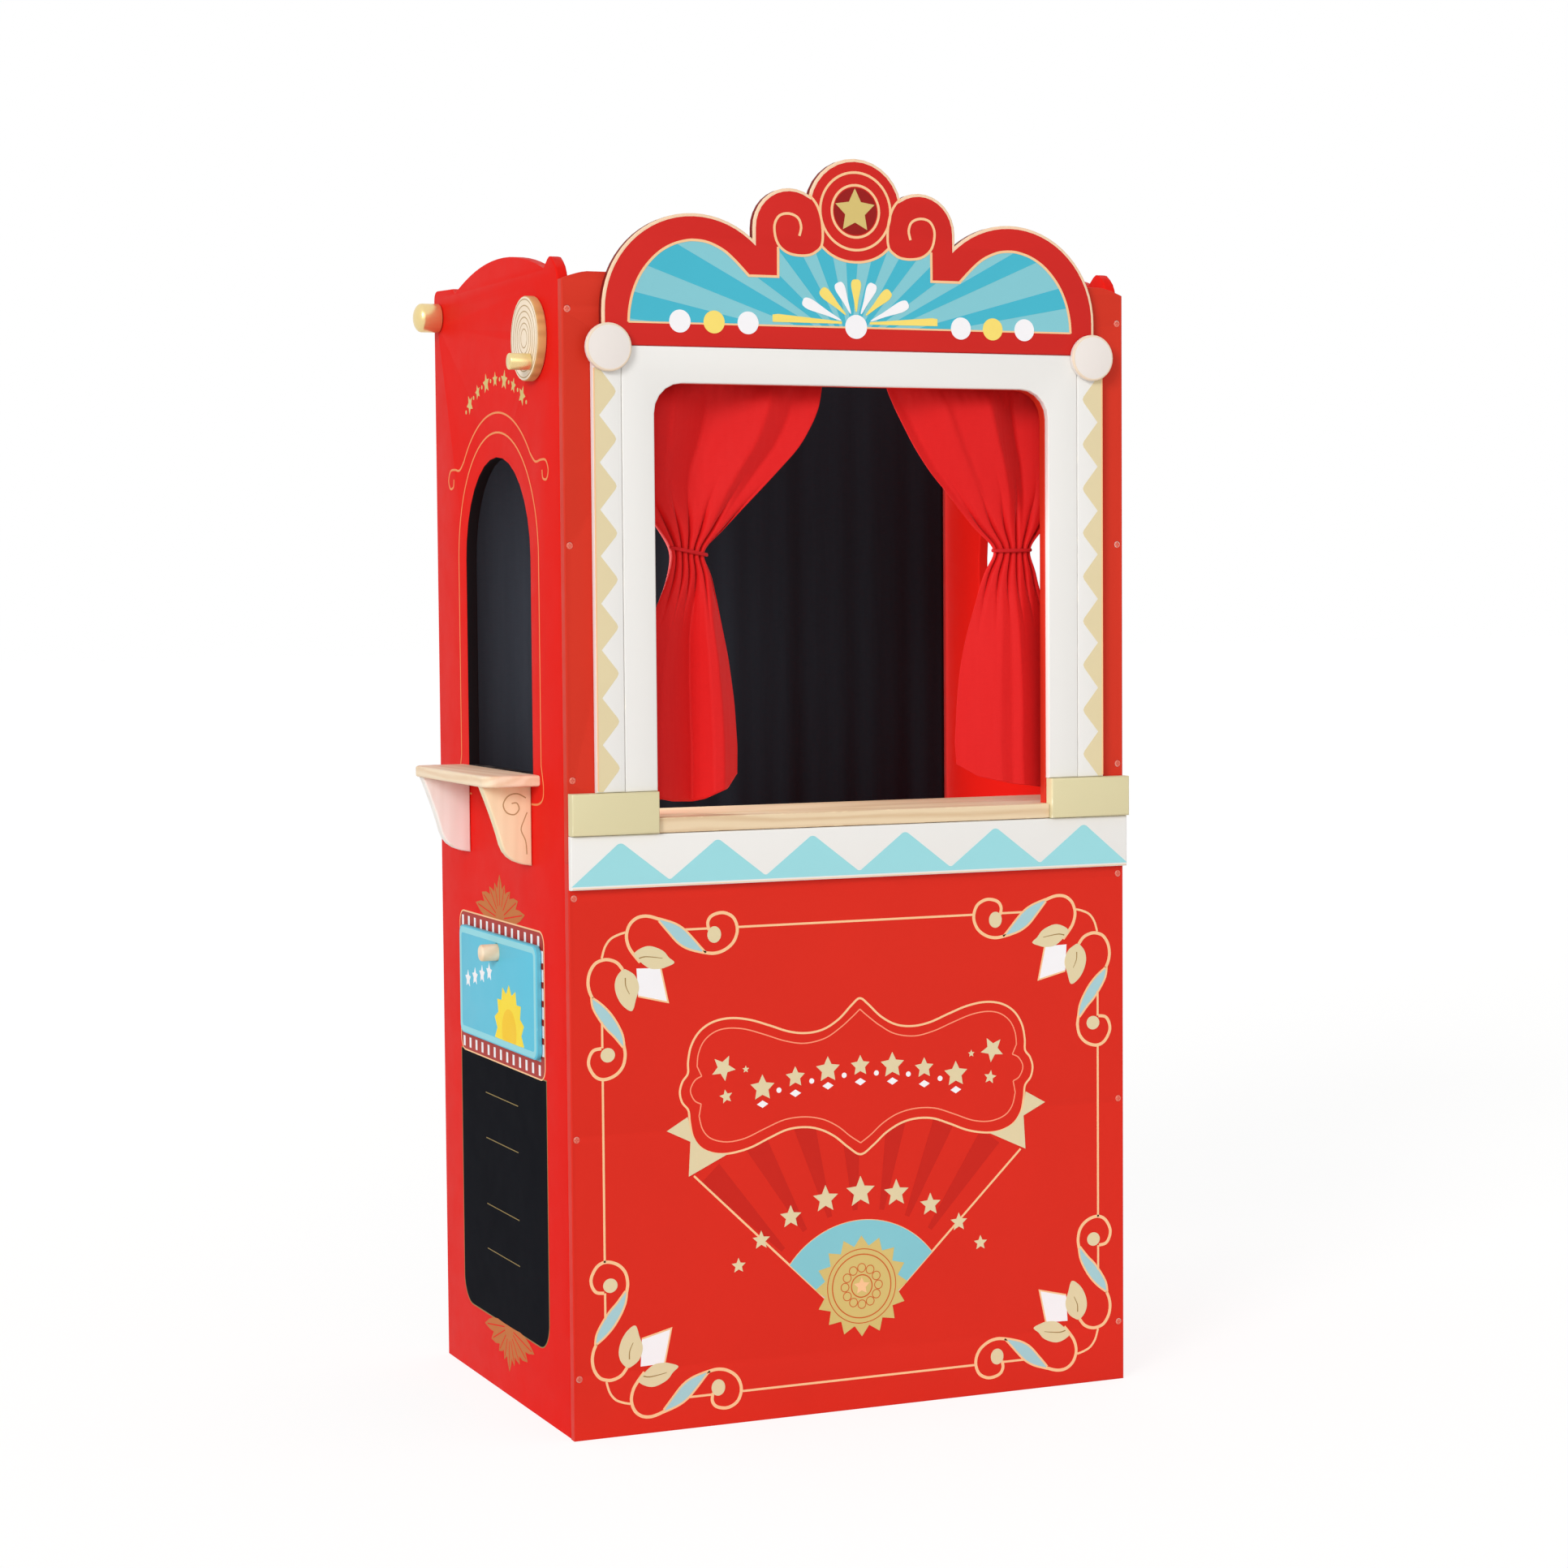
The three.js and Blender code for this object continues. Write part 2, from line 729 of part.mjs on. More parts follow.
const [curtainTopInner, curtainTopOuter] = curtainTopShares.map((share) => share * openingHalf);
const [curtainWaistInner, curtainWaistOuter] = curtainWaistShares.map((share) => share * openingHalf);
const [curtainHemInner, curtainHemOuter] = curtainHemShares.map((share) => share * openingHalf);
const curtainTop = curtainRodZ - curtainRodRadius - pocketClearance - pocketWall / 2;
const waistTop = curtainWaist + tiebackHeight / 2 + tiebackClearance;
const waistBottom = curtainWaist - tiebackHeight / 2 - tiebackClearance;

// Where a curtain's cloth is, at a share across from its inner to its outer edge and at a height
function curtainPlace(sign) {
  return (across, z) => {
    let inner;
    let outer;
    let fold;
    if (z > curtainWaist) {
      const fall = (curtainTop - z) / (curtainTop - waistTop);
      inner = mix(curtainTopInner, curtainWaistInner, fall ** edgePowers.innerSweep);
      outer = mix(curtainTopOuter, curtainWaistOuter, fall ** edgePowers.outerSweep);
      fold = mix(curtainTopWaveDepth, curtainBodyWaveDepth, Math.sin(Math.PI * fall));
      fold = mix(fold, curtainWaistWaveDepth, fall ** edgePowers.flare);
    } else {
      const drop = (waistBottom - z) / (waistBottom - curtainHem);
      const flare = 1 - (1 - drop) ** edgePowers.flare;
      inner = mix(curtainWaistInner, curtainHemInner, flare);
      outer = mix(curtainWaistOuter, curtainHemOuter, flare);
      fold = mix(curtainWaistWaveDepth, curtainBodyWaveDepth, flare);
    }
    const wave = Math.sin(2 * Math.PI * curtainFolds * across);
    const x = curtainPairInset + sign * mix(inner, outer, across);
    return [x, curtainRodY + fold * wave, z];
  };
}

function curtain(name, sign) {
  const place = curtainPlace(sign);
  const toRight = (across, z) => place(sign < 0 ? 1 - across : across, z);
  const levels = [
    ...evenLevels(curtainTop, waistTop, rowsAboveWaist),
    ...evenLevels(waistBottom, curtainHem, rowsBelowWaist),
  ];
  const sheet = hangingSheet(curtainFolds * stepsPerFold, levels, toRight);
  const inner = curtainPairInset + sign * curtainTopInner;
  const outer = curtainPairInset + sign * curtainTopOuter;
  const left = Math.min(inner, outer);
  const right = Math.max(inner, outer);
  const pocket = rodPocket(curtainRodRadius, left, right, curtainRodY, curtainRodZ);
  return piece(name, "redCloth", join([sheet, pocket]));
}

// The band round a curtain's waist
function tieback(name, sign) {
  const middle = curtainPairInset + (sign * (curtainWaistInner + curtainWaistOuter)) / 2;
  const halfWaist = (curtainWaistOuter - curtainWaistInner) / 2;
  const across = halfWaist + tiebackClearance + tiebackThickness;
  const through = curtainWaistWaveDepth + clothThickness / 2 + tiebackClearance + tiebackThickness;
  const outerRadius = tiebackInnerRadius + tiebackThickness;
  const band = roundedRectangle(-across, across, -through, through, outerRadius);
  const holeX = across - tiebackThickness;
  const holeY = through - tiebackThickness;
  band.holes.push(roundedRectangle(-holeX, holeX, -holeY, holeY, tiebackInnerRadius));
  const place = [middle, curtainRodY, curtainWaist - tiebackHeight / 2];
  return piece(name, "redCloth", slab(band, tiebackHeight), place);
}

function curtainRod() {
  const group = new THREE.Group();
  group.position.set(0, curtainRodY, curtainRodZ);
  const socket = curtainRodRadius + seam;
  const reach = innerHalf - seam - rodCupThickness + rodCupSocket - seam;
  const rod = new THREE.CylinderGeometry(curtainRodRadius, curtainRodRadius, 2 * reach, rodSteps);
  group.add(piece("curtain_rod", "naturalWood", rod, [0, 0, 0], pointingLeft));
  const cupProfile = [
    [0, rodCupThickness - rodCupSocket],
    [socket, rodCupThickness - rodCupSocket],
    [socket, rodCupThickness],
    [rodCupRadius, rodCupThickness],
    [rodCupRadius, 0],
    [0, 0],
  ].reverse();
  for (const [side, sign, turn] of [["left", -1, pointingRight], ["right", 1, pointingLeft]]) {
    const place = [sign * (innerHalf - seam), 0, 0];
    group.add(piece(side + "_rod_cup", "naturalWood", turned(cupProfile, rodSteps), place, turn));
  }
  return group;
}

// Backdrop: cloth on a rod that passes through both side panels and ends in two gold knobs
function backdrop() {
  const group = new THREE.Group();
  const reach = halfWidth + runningClearance + rodKnobSocket - seam;
  const rod = new THREE.CylinderGeometry(backdropRodRadius, backdropRodRadius, 2 * reach, rodSteps);
  const rodPlace = [0, backdropRodY, backdropRodZ];
  group.add(piece("backdrop_rod", "naturalWood", rod, rodPlace, pointingLeft));
  const socket = backdropRodRadius + seam;
  const straight = rodKnobLength - rodKnobDome;
  const knobProfile = [
    [0, rodKnobSocket],
    [socket, rodKnobSocket],
    [socket, 0],
    [rodKnobRadius, 0],
    ...domePoints(rodKnobRadius, straight, rodKnobRadius, rodKnobDome),
  ];
  for (const [side, sign, turn] of [["left", -1, pointingLeft], ["right", 1, pointingRight]]) {
    const place = [sign * (halfWidth + runningClearance), backdropRodY, backdropRodZ];
    group.add(piece(side + "_rod_knob", "goldPaint", turned(knobProfile, rodSteps), place, turn));
  }
  const half = innerHalf - backdropMargin;
  const top = backdropRodZ - backdropRodRadius - pocketClearance - pocketWall / 2;
  const place = (across, down) => {
    const wave = Math.sin(2 * Math.PI * backdropWaves * across);
    const y = backdropRodY + backdropWaveDepth * down * wave;
    return [mix(-half, half, across), y, top - backdropDrop * down];
  };
  const levels = evenLevels(0, 1, backdropRows);
  const sheet = hangingSheet(backdropWaves * stepsPerWave, levels, place);
  const pocket = rodPocket(backdropRodRadius, -half, half, backdropRodY, backdropRodZ);
  group.add(piece("backdrop_cloth", "blackCloth", join([sheet, pocket])));
  return group;
}

// Picture board, hung by a hole on a wooden peg in the left panel
function pictureBoard() {
  const half = pictureWidth / 2;
  const shape = roundedRectangle(-half, half, pictureTop - pictureHeight, pictureTop, pictureRadius);
  shape.holes.push(circle(0, picturePegZ, picturePegRadius + runningClearance, rodSteps));
  const x = -halfWidth - pictureStandoff - pictureThickness;
  return piece("picture_board", "bluePaint", slab(shape, pictureThickness), [x, 0, 0], facingSide);
}

function picturePeg() {
  const rim = picturePegProud - picturePegDome;
  const profile = [
    [0, -picturePegTenon],
    [picturePegRadius, -picturePegTenon],
    ...domePoints(picturePegRadius, rim, picturePegDome, picturePegDome),
    [0, picturePegProud],
  ];
  const place = [-halfWidth, 0, picturePegZ];
  return piece("picture_peg", "naturalWood", turned(profile, rodSteps), place, pointingLeft);
}

// The peg's blind hole in the left panel
function pegSocket() {
  const tool = new THREE.CylinderGeometry(
    picturePegRadius + seam,
    picturePegRadius + seam,
    picturePegTenon + seam + overrun,
    rodSteps,
  );
  tool.rotateZ(Math.PI / 2);
  return tool.translate(-halfWidth + (picturePegTenon + seam - overrun) / 2, 0, picturePegZ);
}

function leftPanel() {
  const axleHole = circle(crankY, crankZ, axleRadius + runningClearance, holeSteps);
  const panel = sidePanel("left_side_panel", -1, [axleHole]);
  panel.geometry = cut(panel.geometry, [toSide(pegSocket(), -halfWidth)]);
  return panel;
}

const theatre = new THREE.Group();
theatre.add(
  leftPanel(),
  sidePanel("right_side_panel", 1, []),
  lowerFrontBoard(),
  upperFrontBoard(),
  screws(),
  stageFrame(),
  pilaster("left_pilaster", -1),
  pilaster("right_pilaster", 1),
  plinthBlock("left_plinth_block", -1),
  plinthBlock("right_plinth_block", 1),
  cornerDisc("left_corner_disc", -1),
  cornerDisc("right_corner_disc", 1),
  zigzagFascia(),
  crest(),
  sillBoard(),
  flatBoard("storage_shelf", storageShelfHeight, backEdge - storageShelfSetback),
  flatBoard("base_board", 0, backEdge),
  ticketShelf(),
  ticketBracket("front_ticket_bracket", bracketsBackward - bracketSpacing / 2),
  ticketBracket("rear_ticket_bracket", bracketsBackward + bracketSpacing / 2),
  crank(),
  curtainRod(),
  curtain("left_curtain", -1),
  curtain("right_curtain", 1),
  tieback("left_tieback", -1),
  tieback("right_tieback", 1),
  backdrop(),
  pictureBoard(),
  picturePeg(),
);

export default theatre;
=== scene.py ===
"""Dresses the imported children's puppet theatre: painted boards, printed ornament, cloth and wood.

Sizes inside the classes are millimetres in the stand's own frame: X to the audience's right, Y away from
the audience and Z up, with the origin on the floor in the middle of the carcass.
"""

import logging
import math
from collections.abc import Sequence
from dataclasses import KW_ONLY, dataclass, field
from enum import Enum

import bmesh
import bpy
from mathutils import Matrix, Vector
from mathutils.geometry import tessellate_polygon


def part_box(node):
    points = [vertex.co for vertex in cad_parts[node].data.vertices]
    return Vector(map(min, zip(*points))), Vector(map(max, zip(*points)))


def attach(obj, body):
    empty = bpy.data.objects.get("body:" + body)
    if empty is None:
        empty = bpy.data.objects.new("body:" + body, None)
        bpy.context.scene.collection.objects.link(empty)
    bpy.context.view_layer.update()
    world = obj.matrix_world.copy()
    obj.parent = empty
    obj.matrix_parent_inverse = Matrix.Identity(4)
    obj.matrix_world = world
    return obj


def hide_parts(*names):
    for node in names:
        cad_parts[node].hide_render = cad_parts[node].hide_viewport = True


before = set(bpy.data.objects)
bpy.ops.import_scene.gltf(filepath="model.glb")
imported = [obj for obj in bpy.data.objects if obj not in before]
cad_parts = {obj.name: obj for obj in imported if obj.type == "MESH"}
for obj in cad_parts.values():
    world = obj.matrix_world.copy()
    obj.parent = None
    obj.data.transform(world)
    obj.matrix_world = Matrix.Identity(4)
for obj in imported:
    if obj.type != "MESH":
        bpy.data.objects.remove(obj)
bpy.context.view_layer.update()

LOG = logging.getLogger("puppet_theatre")
MM = 0.001
TURN = 2 * math.pi

Pair = tuple[float, float]
Triple = tuple[float, float, float]
Colour = tuple[int, int, int]
Line = Sequence[Pair]
Socket = bpy.types.NodeSocket


class Axis(Enum):
    """The axis that a board is thin along."""

    ACROSS = 0
    DEEP = 1
    UPRIGHT = 2


class Slot(Enum):
    """The record's material slots."""

    RED = "painted_panel_red"
    WHITE = "painted_white"
    KHAKI = "painted_khaki"
    BLUE = "painted_blue"
    WOOD = "natural_wood"
    GOLD = "gold_paint"
    RED_CLOTH = "red_cloth"
    BLACK_CLOTH = "black_cloth"
    METAL = "screw_metal"


def linear(colour: Colour) -> tuple[float, ...]:
    """A colour of 0 to 255 per channel as Blender's linear values, with full opacity."""
    parts = [channel / 255 for channel in colour]
    return tuple(p / 12.92 if p <= 0.04045 else ((p + 0.055) / 1.055) ** 2.4 for p in parts) + (1.0,)


def trace(*numbers: float) -> tuple[Pair, ...]:
    """Pairs up a run of numbers, as the points of a line or as places and their values."""
    return tuple(zip(numbers[::2], numbers[1::2]))


# Shader wiring and the shared effects
class Wiring:
    """Adds nodes to one node tree and joins them."""

    def __init__(self, tree: bpy.types.NodeTree) -> None:
        """Starts on a material's tree or a node group."""
        self.tree = tree

    def feed(self, socket: Socket, value: object) -> None:
        """Joins a socket to another, or gives it a plain value."""
        if isinstance(value, Socket):
            self.tree.links.new(value, socket)
        else:
            socket.default_value = value

    def node(self, kind: str, inputs: dict | None = None, **settings: object) -> bpy.types.Node:
        """Adds one node.

        Args:
            kind: Blender's type name, without the ShaderNode that most begin with.
            inputs: Values or sockets by input name or number.
            settings: Properties to set on it.

        Returns:
            The node.
        """
        made = self.tree.nodes.new(kind if kind.startswith("Node") else "ShaderNode" + kind)
        for name, value in settings.items():
            setattr(made, name, value)
        for name, value in (inputs or {}).items():
            self.feed(made.inputs[name], value)
        return made

    def mix(self, share: object, first: object, second: object) -> Socket:
        """Mixes two colours and returns the result's socket."""
        return self.node("Mix", {0: share, 6: first, 7: second}, data_type="RGBA").outputs[2]

    def calc(self, operation: str, first: object, second: object = 0.0) -> Socket:
        """Works on two numbers and returns the result's socket."""
        return self.node("Math", {0: first, 1: second}, operation=operation).outputs[0]

    def swing(self, value: object, amount: object) -> Socket:
        """Centres a value on zero, scales it and returns the result's socket."""
        return self.calc("MULTIPLY", self.calc("SUBTRACT", value, 0.5), amount)

    def span(self, value: object, low: float, high: float, to: Pair = (0.0, 1.0)) -> Socket:
        """Stretches a range of numbers to another, held inside it, and returns the result's socket."""
        ends = {"From Min": low, "From Max": high, "To Min": to[0], "To Max": to[1]}
        return self.node("MapRange", {"Value": value} | ends, clamp=True).outputs["Result"]

    def noise(self, place: object, scale: float, detail: float = 3.0) -> Socket:
        """Adds a noise and returns its factor's socket."""
        return self.node("TexNoise", {"Vector": place, "Scale": scale, "Detail": detail}).outputs["Fac"]

    def place(self, stretch: object = (1.0, 1.0, 1.0)) -> Socket:
        """Returns the piece's own coordinates in metres, stretched per axis."""
        where = self.node("TexCoord").outputs["Object"]
        return self.node("VectorMath", {0: where, 1: stretch}, operation="MULTIPLY").outputs[0]

    def effect(self, name: str, inputs: dict) -> bpy.types.bpy_prop_collection:
        """Places a shared effect with its own values, and returns its output sockets."""
        return self.node("Group", inputs, node_tree=EFFECTS.get(name)).outputs

    def paper_rays(self) -> Socket:
        """A mask of the rays that see plain white paper round the stand: camera, gloss and transmission."""
        seen = self.node("LightPath").outputs
        either = self.calc("MAXIMUM", seen["Is Camera Ray"], seen["Is Glossy Ray"])
        return self.calc("MAXIMUM", either, seen["Is Transmission Ray"])


def clear_tree(owner: bpy.types.ID) -> Wiring:
    """Empties the node tree of a material or a world, and returns its wiring."""
    owner.use_nodes = True
    owner.node_tree.nodes.clear()
    return Wiring(owner.node_tree)


class Effects:
    """The shader node groups that the finishes share, each built once."""

    COLOURS = ("Color", "Bare", "Light", "Dark", "Shade")

    def __init__(self) -> None:
        """Starts with no group built."""
        self.built: dict[str, bpy.types.NodeTree] = {}

    def get(self, name: str) -> bpy.types.NodeTree:
        """Returns a group by name, and builds it the first time."""
        if name not in self.built:
            self.built[name] = getattr(self, name)()
        return self.built[name]

    def start(self, name: str, inputs: tuple[str, ...], outputs: tuple[str, ...]) -> tuple:
        """Makes an empty group with its sockets.

        Args:
            name: The group's name.
            inputs: The names of its inputs.
            outputs: The names of its outputs.

        Returns:
            The group, its wiring, the sockets that bring values in and the ones that take them out.
        """
        group = bpy.data.node_groups.new(name, "ShaderNodeTree")
        for way, titles in (("INPUT", inputs), ("OUTPUT", outputs)):
            for title in titles:
                kind = "Color" if title in self.COLOURS else "Vector" if title == "Stretch" else "Float"
                group.interface.new_socket(name=title, in_out=way, socket_type="NodeSocket" + kind)
        w = Wiring(group)
        return group, w, w.node("NodeGroupInput").outputs, w.node("NodeGroupOutput").inputs

    def paint_coat(self) -> bpy.types.NodeTree:
        """A sprayed coat of paint: broad mottling, a fine orange peel and uneven gloss.

        Returns:
            The group.
        """
        names = ("Color", "Mottle", "Gloss"), ("Color", "Roughness", "Height")
        group, w, given, out = self.start("paint_coat", *names)
        here = w.place()
        broad = w.noise(here, 9.0, 4.0)
        value = w.calc("ADD", w.calc("MULTIPLY", w.swing(broad, given["Mottle"]), 2.0), 1.0)
        tone = w.node("HueSaturation", {"Value": value, "Color": given["Color"]})
        w.feed(out["Color"], tone.outputs["Color"])
        w.feed(out["Roughness"], w.calc("ADD", given["Gloss"], w.swing(w.noise(here, 42.0), 0.16)))
        w.feed(out["Height"], w.calc("ADD", w.noise(here, 620.0, 2.0), w.calc("MULTIPLY", broad, 0.5)))
        return group

    def edge_wear(self) -> bpy.types.NodeTree:
        """Paint that thins along the rounded edges of a board, where its edge value is high.

        Returns:
            The group.
        """
        group, w, given, out = self.start("edge_wear", ("Color", "Bare", "Amount"), ("Color",))
        edge = w.calc("MULTIPLY", w.node("Attribute", attribute_name="edge").outputs["Fac"], given["Amount"])
        rough = w.calc("SUBTRACT", w.noise(w.place(), 95.0, 5.0), 1.0)
        mask = w.span(w.calc("ADD", edge, rough), -0.02, 0.22)
        w.feed(out["Color"], w.mix(mask, given["Color"], given["Bare"]))
        return group

    def settled_dust(self) -> bpy.types.NodeTree:
        """A little pale dust in patches on faces that look up.

        Returns:
            The group.
        """
        group, w, given, out = self.start("settled_dust", ("Color", "Amount"), ("Color",))
        up = w.node("SeparateXYZ", {0: w.node("NewGeometry").outputs["Normal"]}).outputs["Z"]
        patch = w.span(w.noise(w.place(), 34.0, 5.0), 0.42, 0.72)
        share = w.calc("MULTIPLY", w.calc("MULTIPLY", w.span(up, 0.55, 0.98), patch), given["Amount"])
        w.feed(out["Color"], w.mix(share, given["Color"], linear((226, 220, 208))))
        return group

    def wood_grain(self) -> bpy.types.NodeTree:
        """Long pale grain with darker growth lines and fine pores.

        Returns:
            The group.
        """
        names = ("Light", "Dark", "Stretch", "Contrast"), ("Color", "Roughness", "Height")
        group, w, given, out = self.start("wood_grain", *names)
        here = w.place(given["Stretch"])
        bend = w.node("TexNoise", {"Vector": here, "Scale": 14.0, "Detail": 2.0}).outputs["Color"]
        pushed = w.node("VectorMath", {0: bend, 1: (0.06, 0.06, 0.06), 2: here}, operation="MULTIPLY_ADD")
        inputs = {"Vector": pushed.outputs[0], "Scale": 24.0, "Distortion": 3.0, "Detail": 2.0}
        rings = w.node("TexWave", inputs, wave_type="RINGS", rings_direction="Y").outputs["Fac"]
        pores = w.noise(here, 300.0, 4.0)
        lines = w.calc("ADD", w.calc("MULTIPLY", rings, 0.6), w.calc("MULTIPLY", pores, 0.4))
        share = w.calc("MULTIPLY", w.span(lines, 0.3, 0.85), given["Contrast"])
        w.feed(out["Color"], w.mix(share, given["Light"], given["Dark"]))
        w.feed(out["Roughness"], w.calc("ADD", w.calc("MULTIPLY", pores, 0.2), 0.42))
        w.feed(out["Height"], w.calc("ADD", pores, w.calc("MULTIPLY", rings, 0.4)))
        return group

    def cloth_weave(self) -> bpy.types.NodeTree:
        """A plain weave: threads across and down, with slubs and soft lengthwise streaks.

        Returns:
            The group.
        """
        names = ("Color", "Shade", "Threads", "Streaks"), ("Color", "Roughness", "Height")
        group, w, given, out = self.start("cloth_weave", *names)
        inputs = {"Vector": w.place(), "Scale": given["Threads"], "Distortion": 0.4}
        cross = [w.node("TexWave", inputs, wave_type="BANDS", bands_direction=way) for way in ("X", "Z")]
        threads = w.calc("MAXIMUM", cross[0].outputs["Fac"], cross[1].outputs["Fac"])
        streak = w.noise(w.place((1.0, 1.0, 0.06)), 210.0)
        slub = w.noise(w.place((0.15, 0.15, 1.0)), 900.0, 2.0)
        pale = w.calc("ADD", w.calc("ADD", w.swing(streak, given["Streaks"]), 0.5), w.swing(slub, 0.3))
        share = w.span(w.calc("ADD", pale, w.calc("MULTIPLY", threads, 0.22)), 0.25, 0.95)
        w.feed(out["Color"], w.mix(share, given["Shade"], given["Color"]))
        w.feed(out["Roughness"], w.span(streak, 0.3, 0.7, (0.62, 0.5)))
        w.feed(out["Height"], w.calc("ADD", threads, w.calc("MULTIPLY", slub, 0.5)))
        return group


EFFECTS = Effects()


@dataclass(frozen=True)
class Finish:
    """A material: one effect over the whole surface, worn edges, settled dust and a fine relief."""

    name: str
    slot: Slot
    _: KW_ONLY
    bare: Colour = (238, 190, 150)
    wear: float = 0.3
    dust: float = 0.12
    depth: float = 0.0001
    relief: float = 0.2
    specular: float = 0.15
    metallic: float = 0.0

    def surface(self) -> tuple[str, dict]:
        """The name of the effect over the whole surface, and its values."""
        raise NotImplementedError(self.name)

    def plain(self) -> dict[str, float]:
        """The values that are the same all over, by the shader's socket."""
        return {"Specular IOR Level": self.specular, "Metallic": self.metallic}

    def material(self) -> bpy.types.Material:
        """Returns the finish's material, made once."""
        return bpy.data.materials.get(self.name) or self.build()

    def build(self) -> bpy.types.Material:
        """Makes the material.

        Returns:
            The material.
        """
        made = bpy.data.materials.new(self.name)
        w = clear_tree(made)
        coat = w.effect(*self.surface())
        colour = coat["Color"]
        if self.wear:
            inputs = {"Color": colour, "Bare": linear(self.bare), "Amount": self.wear}
            colour = w.effect("edge_wear", inputs)["Color"]
        if self.dust:
            colour = w.effect("settled_dust", {"Color": colour, "Amount": self.dust})["Color"]
        bump = w.node("Bump", {"Height": coat["Height"], "Distance": self.depth, "Strength": self.relief})
        inputs = {"Base Color": colour, "Roughness": coat["Roughness"], "Normal": bump.outputs["Normal"]}
        shader = w.node("BsdfPrincipled", inputs | self.plain())
        w.node("OutputMaterial", {"Surface": shader.outputs["BSDF"]})
        return made


@dataclass(frozen=True)
class Paint(Finish):
    """Sprayed or brushed paint on board or metal."""

    colour: Colour
    _: KW_ONLY
    mottle: float = 0.035
    gloss: float = 0.5

    def surface(self) -> tuple[str, dict]:
        """The coat of paint and its values."""
        return "paint_coat", {"Color": linear(self.colour), "Mottle": self.mottle, "Gloss": self.gloss}


@dataclass(frozen=True)
class Ink(Paint):
    """Printed ink, which has no worn edge; it also carries the painted shade on the left window's reveal."""

    _: KW_ONLY
    wear: float = 0.0


@dataclass(frozen=True)
class Wood(Finish):
    """Pale lacquered wood with its grain along one axis."""

    light: Colour
    dark: Colour
    stretch: Triple = (0.12, 1.0, 1.0)
    contrast: float = 0.8
    _: KW_ONLY
    bare: Colour = (250, 228, 190)
    wear: float = 0.55
    dust: float = 0.1
    depth: float = 0.00015
    relief: float = 0.35
    specular: float = 0.25

    def surface(self) -> tuple[str, dict]:
        """The grain and its values."""
        colours = {"Light": linear(self.light), "Dark": linear(self.dark)}
        return "wood_grain", colours | {"Stretch": self.stretch, "Contrast": self.contrast}


@dataclass(frozen=True)
class Cloth(Finish):
    """Woven cloth with a soft sheen."""

    colour: Colour
    shade: Colour
    threads: float = 420.0
    streaks: float = 0.15
    _: KW_ONLY
    wear: float = 0.0
    dust: float = 0.04
    depth: float = 0.0002
    relief: float = 0.5
    sheen: float = 0.08
    sheen_roughness: float = 0.4

    def surface(self) -> tuple[str, dict]:
        """The weave and its values."""
        colours = {"Color": linear(self.colour), "Shade": linear(self.shade)}
        return "cloth_weave", colours | {"Threads": self.threads, "Streaks": self.streaks}

    def plain(self) -> dict[str, float]:
        """The values that are the same all over, with the sheen's."""
        return super().plain() | {"Sheen Weight": self.sheen, "Sheen Roughness": self.sheen_roughness}


FRONT_RED = Paint("front_red", Slot.RED, (219, 42, 26))
SIDE_RED = Paint("side_red", Slot.RED, (230, 30, 22), specular=0.03)
UPPER_RED = Paint("upper_red", Slot.RED, (212, 52, 32))
CREST_RED = Ink("crest_red", Slot.RED, (208, 38, 32))
# A darker red for the crest's side walls than for its face.
WALL_RED = Ink("wall_red", Slot.RED, (132, 34, 28), specular=0.05)
DEEP_RED = Ink("deep_red", Slot.RED, (202, 36, 24))
LAMP_RED = Ink("lamp_red", Slot.RED, (172, 44, 34))
INK_RED = Ink("ink_red", Slot.RED, (150, 26, 24))
CHALK_BLACK = Ink("chalk_black", Slot.RED, (20, 21, 26), gloss=0.8, mottle=0.2, specular=0.02)
# Painted shade: near black for the left window's reveal, standing for the dark of the stage seen behind it.
REVEAL_PAINTED_SHADE = Ink("reveal_painted_shade", Slot.RED, (24, 20, 22), gloss=0.7, specular=0.03)
RUST_INK = Ink("rust_ink", Slot.KHAKI, (206, 104, 52), specular=0.08)
LEAF_INK = Ink("leaf_ink", Slot.KHAKI, (198, 116, 60), specular=0.05)
ARCH_INK = Ink("arch_ink", Slot.KHAKI, (238, 150, 92), specular=0.08)
ROSE_INK = Ink("rose_ink", Slot.KHAKI, (252, 150, 116))
RING_INK = Ink("ring_ink", Slot.KHAKI, (188, 158, 112))
VEIN_INK = Ink("vein_ink", Slot.KHAKI, (160, 128, 74))
RULE_INK = Ink("rule_ink", Slot.KHAKI, (150, 130, 82), specular=0.03)
CREAM_INK = Ink("cream_ink", Slot.KHAKI, (250, 200, 150))
RIM_CREAM = Ink("rim_cream", Slot.KHAKI, (244, 210, 176))
DISC_RIM = Ink("disc_rim", Slot.KHAKI, (238, 218, 194))
KHAKI_INK = Ink("khaki_ink", Slot.KHAKI, (228, 212, 170))
GOLD_INK = Ink("gold_ink", Slot.KHAKI, (216, 192, 118))
KHAKI = Paint("khaki", Slot.KHAKI, (223, 213, 170), bare=(244, 236, 206), wear=0.5)
DISC_WHITE = Paint("disc_white", Slot.WHITE, (238, 230, 224), bare=(248, 240, 232))
WHITE = Paint("white", Slot.WHITE, (238, 236, 232), bare=(250, 246, 236), wear=0.5, mottle=0.015)
WHITE_INK = Ink("white_ink", Slot.WHITE, (248, 246, 248))
YELLOW_INK = Ink("yellow_ink", Slot.WHITE, (250, 224, 116))
SUN_INK = Ink("sun_ink", Slot.WHITE, (252, 224, 54))
SUN_HEART = Ink("sun_heart", Slot.WHITE, (250, 204, 34))
SKY_INK = Ink("sky_ink", Slot.BLUE, (134, 202, 212))
DEEP_SKY_INK = Ink("deep_sky_ink", Slot.BLUE, (72, 184, 206))
BAND_SKY_INK = Ink("band_sky_ink", Slot.BLUE, (158, 220, 226))
